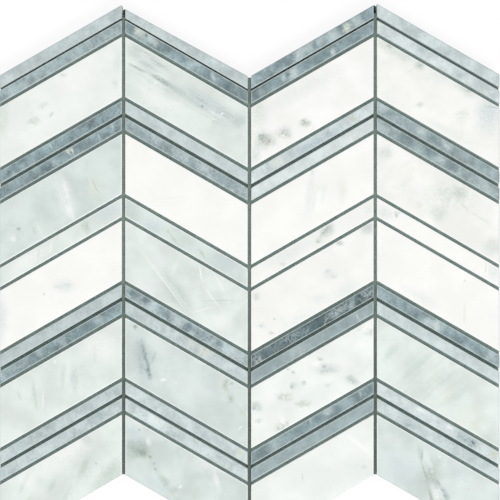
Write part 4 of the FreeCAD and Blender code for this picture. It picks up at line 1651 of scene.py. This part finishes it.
@dataclass
class StoneCutter:
    """Saws the stones: one of each kind is shaped, and the others are copied from it."""

    #: How far an arris is eased, in how many steps, and how large a stone's faces are.
    arris: float = 0.4 * MM
    arris_segments: int = 3
    saw_step: float = 2.0 * MM
    #: The size and the depth of the arris' nicks.
    nick_grain: float = 1.2 * MM
    nick_depth: float = 0.1 * MM

    def blank(self, name: str, outline: Outline) -> bpy.types.Object:
        """Shapes one stone in the middle of the plan.

        Args:
            name: The stone's name.
            outline: Its outline.

        Returns:
            The stone, with its foot at nothing.
        """
        block = slanted_block(name, outline, self.saw_step)
        bevel = block.modifiers.new("arris", "BEVEL")
        bevel.width = self.arris
        bevel.segments = self.arris_segments
        bevel.limit_method = "ANGLE"
        bevel.angle_limit = math.radians(SHARP)
        apply_all(block)
        return block

    def finish(self, stone: bpy.types.Object, outline: Outline) -> None:
        """Puts a stone in its place and wears its arrises.

        Args:
            stone: A blank or a copy of one.
            outline: The stone's outline.
        """
        stone.location = (outline.middle, outline.foot, 0.0)
        settle(stone)
        group = stone.vertex_groups.new(name="arris")
        near_top = outline.top - self.arris - TOUCHING
        low = min(vert.co.x for vert in stone.data.vertices) + self.arris + TOUCHING
        high = max(vert.co.x for vert in stone.data.vertices) - self.arris - TOUCHING
        lean = outline.fall.value * SLOPE
        rim = self.arris / math.cos(CHEVRON) + TOUCHING
        taper = (outline.right_height - outline.left_height) / outline.length
        worn = []
        for vert in stone.data.vertices:
            along = vert.co.x - outline.middle
            above = vert.co.y - outline.foot - lean * along
            height = (outline.left_height + outline.right_height) / 2 + taper * along
            at_rim = not (low < vert.co.x < high and rim < above < height - rim)
            if vert.co.z > near_top and at_rim:
                worn.append(vert.index)
        group.add(worn, 1.0, "REPLACE")
        roughen(stone, "nicks", self.nick_grain, self.nick_depth, "arris", "NORMAL")
        smooth(stone, SHARP)


@dataclass
class StoneFace:
    """The stones of the sheet, each cut, dressed and laid on its solid."""

    cutter: StoneCutter
    finishes: dict[str, Marble]

    def build(self) -> Iterator[bpy.types.Object]:
        """Makes every stone.

        Yields:
            The stones, one at a time.
        """
        blanks: dict[str, bpy.types.Object] = {}
        for node, finish in self.finishes.items():
            outline = Outline.of_node(node)
            kind = node.split("_c")[0]
            pattern = node if node == TAPERED_STRIP else f"{kind}_{outline.fall.name.lower()}"
            if pattern not in blanks:
                blanks[pattern] = self.cutter.blank(pattern, outline)
            stone = duplicate(blanks[pattern], f"dressed_{node}")
            self.cutter.finish(stone, outline)
            stone.data.materials.append(finish.material(node, outline))
            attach(stone, BODY)
            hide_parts(node)
            "white_marble" if isinstance(finish, WhiteMarble) else "grey_marble"
            yield stone
        for blank in blanks.values():
            bpy.data.objects.remove(blank)


@dataclass(frozen=True)
class ResinFinish:
    """Grey-green tile adhesive: smeared, slightly glossy, and darker where it lies thick."""

    name: str
    thin: Colour = linear(0x879A94)
    thick: Colour = linear(0x7A8E8A)
    #: How much darker it is towards the sheet's lower edge: painted shade, as if the resin lay deeper
    #: there.
    lower_shade: float = 0.0

    #: The size of its pools and of its smears, in millimetres, and how much of the pattern the pools are.
    POOL = 14.0
    SMEAR = 4.0
    POOLED = 0.6
    #: Where the pattern is thin and where it is thick.
    SPREAD = (0.38, 0.62)
    #: How rough it is at least, and how much more in its smears.
    ROUGH = 0.45
    SMEARED = 0.2
    #: How deep its relief is, and how strong.
    RELIEF_DEPTH = 0.2 * MM
    RELIEF_STRENGTH = 0.25
    #: From which height on the sheet down to which the painted shade grows, in millimetres.
    SHADE_SPAN = (20.0, -90.0)

    def material(self) -> bpy.types.Material:
        """Makes the finish.

        Returns:
            The material.
        """
        paint = Paint(bpy.data.materials.new(self.name))
        place = paint.mapped(paint.objects(), Scale=(PER_METRE,) * 3)
        pools = paint.noise(place, self.POOL)
        smears = paint.noise(place, self.SMEAR, detail=1.0)
        share = paint.step(pools * self.POOLED + smears * (1 - self.POOLED), *self.SPREAD)
        colour = paint.blend(self.thin, self.thick, share)
        # Painted shade: darker down the sheet, standing in for resin that lies deeper there.
        if self.lower_shade:
            _, height, _ = paint.parts(place)
            shade = paint.step(height, *self.SHADE_SPAN, high=self.lower_shade)
            colour = paint.blend(colour, linear(0x000000), shade)
        return paint.surface(
            Base_Color=colour,
            Roughness=self.ROUGH + self.SMEARED * smears,
            Normal=paint.bump(smears * self.POOLED + pools, self.RELIEF_DEPTH, self.RELIEF_STRENGTH),
        )


@dataclass(frozen=True)
class GlassYarnFinish:
    """Bleached glass yarn: fine filaments along the yarn, a little dulled by adhesive."""

    name: str
    #: How the filaments' pattern is squeezed along each axis.
    across: tuple[float, float, float]
    bright: Colour = linear(0xEEF1EC)
    dull: Colour = linear(0xBFC8BF)

    #: The size of the adhesive's stains, in millimetres, and how much of the pattern they are.
    STAIN = 9.0
    STAINED = 0.5
    #: Where the pattern is bright and where it is dull.
    SPREAD = (0.4, 0.62)
    #: How rough it is at least, and how much more in its stains.
    ROUGH = 0.38
    DULLED = 0.2
    #: How deep the filaments' relief is, and how strong.
    RELIEF_DEPTH = 0.05 * MM
    RELIEF_STRENGTH = 0.6

    def material(self) -> bpy.types.Material:
        """Makes the finish.

        Returns:
            The material.
        """
        paint = Paint(bpy.data.materials.new(self.name))
        place = paint.mapped(paint.objects(), Scale=(PER_METRE,) * 3)
        filaments = paint.noise(paint.mapped(place, Scale=self.across), grain=1.0, detail=2.0)
        stains = paint.noise(place, self.STAIN)
        share = paint.step(filaments * (1 - self.STAINED) + stains * self.STAINED, *self.SPREAD)
        return paint.surface(
            Base_Color=paint.blend(self.bright, self.dull, share),
            Roughness=self.ROUGH + self.DULLED * stains,
            Normal=paint.bump(filaments, self.RELIEF_DEPTH, self.RELIEF_STRENGTH),
        )


@dataclass
class JointResin:
    """The adhesive that has squeezed up into the joints, and sags a little along the middle of each."""

    #: How high it stands beside white marble, between two strips, and in a narrow joint.
    level: float = 7.6 * MM
    grey_level: float = 5.6 * MM
    narrow_level: float = 4.0 * MM
    #: How wide a joint is, straight up, that isn't a narrow one.
    narrow_joint: float = 1.5 * MM
    #: How far it sinks, how near to a line its vertices lie, and how large its faces are.
    sag: float = 0.35 * MM
    near: float = 0.1 * MM
    step: float = 3.0 * MM
    #: The width of an upright joint, and how far under the stones' points it ends at each peak.
    column_joint: float = 2.0 * MM
    peak_trims: tuple[float, float] = (7.0 * MM, 4.5 * MM)

    def bar(self, name: str, outline: Outline) -> bpy.types.Object:
        """Shapes the resin of one joint between two stones of a column.

        Args:
            name: The bar's name.
            outline: The joint's outline.

        Returns:
            The bar, in the middle of the plan and with its foot at nothing.
        """
        bar = slanted_block(name, outline, self.step)
        lean = outline.fall.value * SLOPE
        with shaping(bar):
            for cut_line in range(1, LEAST_CUTS + 1):
                share = cut_line / (LEAST_CUTS + 1)
                level = outline.full_height * share
                pick(bar, "VERT", lambda vert: vert.co.z > outline.bottom + self.near
                     and abs(vert.co.y - lean * vert.co.x - level) < self.near / 2)
                bpy.ops.transform.translate(value=(0.0, 0.0, -self.sag * math.sin(share * math.pi)))
        return bar

    def level_of(self, upper_node: str, lower_node: str, gap: float) -> float:
        """How high the resin stands: lower between two strips, and lowest in a narrow joint.

        Args:
            upper_node: The stone over the joint.
            lower_node: The stone under it.
            gap: How wide the joint is, straight up.

        Returns:
            The height of the resin's edge.
        """
        if gap < self.narrow_joint:
            return self.narrow_level
        strips = all(node.startswith("grey_strip") for node in (upper_node, lower_node))
        return self.grey_level if strips else self.level

    def bed_joints(self) -> bpy.types.Object:
        """Fills the slanted joints.

        Returns:
            The resin of all of them, as one piece.
        """
        bars: dict[tuple[float, float, Fall], bpy.types.Object] = {}
        laid = []
        for column in range(1, COLUMNS + 1):
            stones = [node for node in frame["nodes"] if f"_c{column}_r" in node]
            nodes = sorted(stones, key=lambda node: int(node[-2:]))
            for upper_node, lower_node in zip(nodes, nodes[1:]):
                upper, lower = Outline.of_node(upper_node), Outline.of_node(lower_node)
                foot = lower.foot + lower.full_height
                gap = upper.foot - foot
                level = self.level_of(upper_node, lower_node, gap)
                key = (round(gap * PER_METRE, 2), level, upper.fall)
                if key not in bars:
                    outline = Outline(0.0, 0.0, upper.length, gap, gap, upper.fall, upper.bottom, level)
                    bars[key] = self.bar("joint_bar", outline)
                bar = duplicate(bars[key], "joint_bar_laid")
                bar.location = (upper.middle, foot, 0.0)
                settle(bar)
                laid.append(bar)
        for bar in bars.values():
            bpy.data.objects.remove(bar)
        return self.joined(laid, "resin_bed_joints")

    def column_joints(self) -> bpy.types.Object:
        """Fills the three upright joints.

        Returns:
            Their resin, as one piece.
        """
        low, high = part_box(BACKING)
        peak = high.y + MESH_TRIM
        laid = []
        for column in range(1, COLUMNS):
            at_peak = column % 2 == 1
            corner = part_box(f"white_field_c{column}_r{ROWS}")[0].y + (PITCH - self.column_joint) * SLOPE
            bottom = corner if at_peak else low.y
            top = peak - (self.peak_trims[column // 2] if at_peak else PITCH * SLOPE)
            bar = add_block("column_bar", (self.column_joint, top - bottom), high.z, self.level)
            with shaping(bar):
                pick(bar, "EDGE", lambda edge: span(edge, Y) > (top - bottom) / 2)
                bpy.ops.mesh.subdivide(number_cuts=round((top - bottom) / self.step))
                pick(bar, "EDGE", lambda edge: span(edge, X) > self.column_joint / 2)
                bpy.ops.mesh.subdivide(number_cuts=1)
                pick(bar, "VERT", lambda vert: vert.co.z > self.level - self.near
                     and abs(vert.co.x) < self.near)
                bpy.ops.transform.translate(value=(0.0, 0.0, -self.sag))
            bar.location = ((column - COLUMNS / 2) * PITCH, (top + bottom) / 2, 0.0)
            settle(bar)
            laid.append(bar)
        return self.joined(laid, "resin_column_joints")

    @staticmethod
    def joined(laid: list[bpy.types.Object], name: str) -> bpy.types.Object:
        """Joins bars to one piece.

        Args:
            laid: The bars, each in its place.
            name: The piece's name.

        Returns:
            The piece.
        """
        choose(laid[0])
        for bar in laid:
            bar.select_set(True)
        bpy.ops.object.join()
        piece = laid[0]
        piece.name = piece.data.name = name
        smooth(piece, SHARP)
        return piece

    def build(self) -> Iterator[bpy.types.Object]:
        """Makes the resin in the joints.

        Yields:
            The pieces, one at a time.
        """
        # The upright joints' resin is a darker copy of the bed joints' resin: painted shade, with more
        # painted shade towards the lower edge.
        upright = ResinFinish("column_resin", thin=linear(0x7D8D85), thick=linear(0x74847C), lower_shade=0.4)
        for piece, finish in (
            (self.bed_joints(), ResinFinish("bed_resin")), (self.column_joints(), upright)
        ):
            piece.data.materials.append(finish.material())
            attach(piece, BODY)
            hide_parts(BACKING)
            yield piece


@dataclass
class GlassMesh:
    """The backing: a film of adhesive under the stones, with a grid of glass yarn pressed into it."""

    #: The height of the film's underside, the size of its faces, and the size and depth of its hollows.
    film_low: float = 0.45 * MM
    film_grid: float = 4.0 * MM
    film_grain: float = 9.0 * MM
    film_hollow: float = 0.1 * MM
    #: Faces of the solid that meet at fewer degrees than this are one.
    film_flat: float = 1.0
    #: How many yarns lie side by side in a column.
    yarns_to_column: int = 17
    #: Each yarn's width and thickness, the height of its middle, and how far a warp yarn rises at the weft.
    weft_size: tuple[float, float] = (0.95 * MM, 0.15 * MM)
    warp_size: tuple[float, float] = (0.75 * MM, 0.13 * MM)
    weft_level: float = 0.37 * MM
    warp_level: float = 0.11 * MM
    warp_dip: float = 0.13 * MM
    #: The part of its thickness by which a weft yarn's edges are eased, and the angle that stays an edge.
    rounding: float = 0.45
    yarn_sharp: float = 50.0
    #: How far inside the slant through the stones' points the yarns end, straight up.
    hem: float = 1.0 * MM

    @property
    def yarn_pitch(self) -> float:
        """How far the yarns lie apart."""
        return PITCH / self.yarns_to_column

    def film(self) -> bpy.types.Object:
        """The adhesive film, which shows in the joints.

        Returns:
            The film, cut to the solid's own outline.
        """
        low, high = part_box(BACKING)
        film = duplicate(frame["nodes"][BACKING], "adhesive_film")
        film.parent = None
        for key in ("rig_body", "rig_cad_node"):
            if key in film:
                del film[key]
        film.data.materials.clear()
        with shaping(film):
            bpy.ops.mesh.select_all(action="SELECT")
            bpy.ops.mesh.remove_doubles(threshold=TOUCHING)
            bpy.ops.mesh.dissolve_limited(angle_limit=math.radians(self.film_flat))
            for axis in (X, Y):
                normal = Vector((axis == X, axis == Y, 0.0))
                strips = round((high[axis] - low[axis]) / self.film_grid)
                for strip in range(1, strips):
                    bpy.ops.mesh.select_all(action="SELECT")
                    bpy.ops.mesh.bisect(plane_co=low.lerp(high, strip / strips), plane_no=normal)
            pick(film, "VERT", lambda vert: vert.co.z < (low.z + high.z) / 2)
            bpy.ops.transform.translate(value=(0.0, 0.0, self.film_low - low.z))
        group = film.vertex_groups.new(name="top")
        middle = (self.film_low + high.z) / 2
        group.add([vert.index for vert in film.data.vertices if vert.co.z > middle], 1.0, "REPLACE")
        roughen(film, "trowelling", self.film_grain, self.film_hollow, "top", "Z")
        smooth(film, SHARP)
        resin = ResinFinish("film_resin", thin=linear(0xA6B3AB), thick=linear(0x98A69E))
        film.data.materials.append(resin.material())
        return film

    def weft_yarn(self) -> bpy.types.Object:
        """Shapes one yarn across a column, with eased edges.

        Returns:
            The yarn, on the middle of the plan.
        """
        width, thick = self.weft_size
        low = self.weft_level - thick / 2
        yarn = add_block("weft_column", (PITCH, width), low, low + thick)
        with shaping(yarn):
            pick(yarn, "FACE", lambda face: abs(face.normal.x) > SQUARE)
            bpy.ops.mesh.delete(type="FACE")
            pick(yarn, "EDGE", lambda edge: span(edge, X) > PITCH / 2)
            bpy.ops.mesh.bevel(offset=thick * self.rounding, segments=1)
            pick(yarn, "EDGE", lambda edge: span(edge, X) > PITCH / 2)
            bpy.ops.mesh.subdivide(number_cuts=self.yarns_to_column - 1)
        return yarn

    def warp_yarn(self) -> bpy.types.Object:
        """Shapes one step of a yarn up the sheet, which passes under one weft yarn.

        Returns:
            The step, on the middle of the plan, with its ends a little higher.
        """
        width, thick = self.warp_size
        low = self.warp_level - thick / 2
        yarn = add_block("warp_column", (width, self.yarn_pitch), low, low + thick)
        with shaping(yarn):
            pick(yarn, "FACE", lambda face: abs(face.normal.y) > SQUARE)
            bpy.ops.mesh.delete(type="FACE")
            pick(yarn, "EDGE", lambda edge: span(edge, Y) > self.yarn_pitch / 2)
            bpy.ops.mesh.subdivide(number_cuts=1)
            pick(yarn, "VERT", lambda vert: abs(vert.co.y) > self.yarn_pitch / 4)
            bpy.ops.transform.translate(value=(0.0, 0.0, self.warp_dip))
        return yarn

    def leaf(self, yarn: bpy.types.Object, start: Place, steps: tuple[int, int]) -> bpy.types.Object:
        """Repeats a yarn over the column right of the middle, and trims it to the chevron.

        Args:
            yarn: One yarn, or one step of it, on the middle of the plan.
            start: Where the first one goes.
            steps: How many times it is repeated along X and along Y.

        Returns:
            The column's yarns.
        """
        low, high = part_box(BACKING)
        yarn.location = (start[0], start[1], 0.0)
        settle(yarn)
        for name, count, offset in (
            ("along", steps[0], (self.yarn_pitch, 0.0, 0.0)), ("up", steps[1], (0.0, self.yarn_pitch, 0.0))
        ):
            if count > 1:
                array = yarn.modifiers.new(name, "ARRAY")
                array.count = count
                array.use_relative_offset = False
                array.use_constant_offset = True
                array.constant_offset_displace = offset
                array.use_merge_vertices = True
                array.merge_threshold = TOUCHING
        apply_all(yarn)
        rise = PITCH * SLOPE
        bottom = Vector((0.0, low.y - MESH_TRIM + self.hem, 0.0))
        top = Vector((0.0, high.y + MESH_TRIM - rise - self.hem, 0.0))
        square = Vector((-math.sin(CHEVRON), math.cos(CHEVRON), 0.0))
        up = Vector((0.0, 1.0, 0.0))
        for place, normal in ((bottom, -square), (top, square), (low, -up), (high, up)):
            cut(yarn, place, normal, False)
        return yarn

    def sheet(self, name: str, leaf: bpy.types.Object) -> bpy.types.Object:
        """Four columns from one: each is the mirror image of its neighbour.

        Args:
            name: The finished piece's name.
            leaf: The yarns of the column right of the middle.

        Returns:
            The whole sheet's yarns, as one piece.
        """
        low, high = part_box(BACKING)
        far = duplicate(leaf, f"{name}_far")
        mirror(far)
        far.location.x = 2 * PITCH
        settle(far)
        columns = [leaf, far]
        for column in (leaf, far):
            other = duplicate(column, f"{name}_left")
            mirror(other)
            columns.append(other)
        choose(leaf)
        for column in columns:
            column.select_set(True)
        bpy.ops.object.join()
        leaf.name = leaf.data.name = name
        with shaping(leaf):
            bpy.ops.mesh.select_all(action="SELECT")
            bpy.ops.mesh.remove_doubles(threshold=TOUCHING)
        side = Vector((1.0, 0.0, 0.0))
        cut(leaf, high, side, False)
        cut(leaf, low, -side, False)
        smooth(leaf, self.yarn_sharp)
        return leaf

    def build(self) -> Iterator[bpy.types.Object]:
        """Makes the film and the yarns.

        Yields:
            The pieces, one at a time.
        """
        low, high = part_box(BACKING)
        rows = math.ceil((high.y - low.y) / self.yarn_pitch) + 1
        first = low.y - self.yarn_pitch / 2
        weft = self.leaf(self.weft_yarn(), (PITCH / 2, first), (1, rows))
        warp = self.leaf(self.warp_yarn(), (self.yarn_pitch / 2, first), (self.yarns_to_column, rows))
        weft = self.sheet("glass_weft", weft)
        warp = self.sheet("glass_warp", warp)
        weft.data.materials.append(GlassYarnFinish("weft_glass", across=(0.3, 9.0, 1.0)).material())
        warp.data.materials.append(GlassYarnFinish("warp_glass", across=(9.0, 0.3, 1.0)).material())
        for piece in (self.film(), weft, warp):
            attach(piece, BODY)
            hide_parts(BACKING)
            yield piece


@dataclass
class Studio:
    """A white floor, even light all round, one soft lamp, and the photograph's camera."""

    #: The length of the floor's side, and how bright the light from all round is.
    floor_size: float = 8.0
    sky: float = 0.8
    lamp_place: Vector = Vector((0.6, -1.5, 2.1))
    lamp_size: float = 1.0
    lamp_power: float = 17.5
    camera_place: Vector = Vector((0.00036, 0.0149, 1.0683))
    lens: float = 125.9
    #: Where the bare paper begins and is whole, outwards from the tile's outline.
    bare_edge: Place = (-1.68 * MM, -1.32 * MM)
    #: Where the painted shadow on the paper in an open joint begins and is whole: sideways from its middle,
    #: and outwards.
    gap_edge: Place = (1.2 * MM, 0.96 * MM)
    gap_end: Place = (1.44 * MM, 0.96 * MM)
    #: How far from the sheet's middle the height of its points changes.
    seam: float = 1.0 * MM
    #: The paper's colour, the painted shadow in an open joint, and how far bare paper is lifted to plain
    #: white.
    paper: Colour = linear(0x787878)
    painted_gap_shadow: Colour = linear(0x4A5856)
    lift: float = 0.83

    @staticmethod
    def seen_rays(paint: Paint) -> Field:
        """Marks what the camera sees, plainly, mirrored or through glass.

        Args:
            paint: The nodes of a material or world.

        Returns:
            One for such a ray, and nothing for any other.
        """
        path = paint.node("ShaderNodeLightPath", {}, {}, "Is Camera Ray")
        outlets = path.socket.node.outputs
        seen = paint.maths("MAXIMUM", path, Field(paint, outlets["Is Glossy Ray"]))
        return paint.maths("MAXIMUM", seen, Field(paint, outlets["Is Transmission Ray"]))

    def floor(self) -> None:
        """Lays the floor, which stays white beyond the tile and keeps the tile's shadow."""
        choose_none()
        bpy.ops.mesh.primitive_plane_add(size=self.floor_size, location=(0.0, 0.0, 0.0))
        floor = bpy.context.object
        floor.name = "studio_floor"
        floor.data.materials.append(self.floor_paper())

    def floor_paper(self) -> bpy.types.Material:
        """White paper that is lifted to plain white where the tile doesn't cover it.

        The paper that shows in the open ends of the upright joints, at the two peaks, carries a painted
        shadow.

        Returns:
            The material.
        """
        paint = Paint(bpy.data.materials.new("studio_paper"))
        along, across, _ = paint.parts(paint.objects())
        low, high = CAD_BOX
        tips = [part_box(f"grey_strip_c{column}_r01")[1].y for column in range(1, COLUMNS + 1)]
        left_tip, right_tip = min(tips[:2]), min(tips[2:])
        tip = paint.step(along, -self.seam, self.seam, left_tip, right_tip)
        column = paint.maths("ABSOLUTE", paint.maths("ABSOLUTE", along) - PITCH)
        above = across + column * SLOPE - tip
        below = (low.y + PITCH * SLOPE) - across - column * SLOPE
        beside = paint.maths("ABSOLUTE", along) - high.x
        away = paint.maths("MAXIMUM", paint.maths("MAXIMUM", above, below), beside)
        # Painted shadow on the paper seen through the open joints at the peaks.
        gap_shadow_share = paint.step(column, *self.gap_edge) * paint.step(away, *self.gap_end)
        bare = paint.step(away, *self.bare_edge) * (1.0 - gap_shadow_share)
        colour = paint.blend(self.paper, self.painted_gap_shadow, gap_shadow_share)
        shine = self.seen_rays(paint) * bare * self.lift
        matte = paint.node("ShaderNodeBsdfDiffuse", {}, {"Color": colour})
        glow = paint.node("ShaderNodeEmission", {}, {"Color": linear(0xFFFFFF), "Strength": shine})
        both = paint.node("ShaderNodeAddShader", {}, {"Shader": matte, "Shader_001": glow})
        paint.node("ShaderNodeOutputMaterial", {}, {"Surface": both})
        return paint.owner

    def world(self) -> None:
        """Even light from all round, seen as plain white."""
        world = bpy.data.worlds.new("studio_world")
        bpy.context.scene.world = world
        paint = Paint(world)
        level = self.seen_rays(paint) * (1.0 - self.sky) + self.sky
        sky = paint.node("ShaderNodeBackground", {}, {"Color": linear(0xFFFFFF), "Strength": level})
        paint.node("ShaderNodeOutputWorld", {}, {"Surface": sky})

    def lamp(self) -> None:
        """One large lamp, from below the middle of the picture."""
        choose_none()
        bpy.ops.object.light_add(type="AREA", location=self.lamp_place)
        lamp = bpy.context.object
        lamp.name = "soft_lamp"
        lamp.data.shape = "DISK"
        lamp.data.size = self.lamp_size
        lamp.data.energy = self.lamp_power
        lamp.rotation_euler = (-self.lamp_place).to_track_quat("-Z", "Y").to_euler()

    def camera(self) -> None:
        """The camera, straight above the face as in the photograph."""
        choose_none()
        bpy.ops.object.camera_add(location=self.camera_place, rotation=(0.0, 0.0, 0.0))
        camera = bpy.context.object
        camera.name = "photo_camera"
        camera.data.lens = self.lens
        bpy.context.scene.camera = camera

    def build(self) -> None:
        """Sets the whole studio up."""
        bpy.context.scene.view_settings.view_transform = "Standard"
        self.floor()
        self.world()
        self.lamp()
        self.camera()


def main() -> None:
    """Builds the sub-assemblies in order and reports each piece."""
    logging.basicConfig(level=logging.INFO, format="%(name)s: %(message)s")
    Studio().build()
    LOG.info("studio is ready")
    for assembly in (StoneFace(StoneCutter(), FINISHES), GlassMesh(), JointResin()):
        for piece in assembly.build():
            LOG.info("%s has %d faces", piece.name, len(piece.data.polygons))


if __name__ == "__main__":
    main()
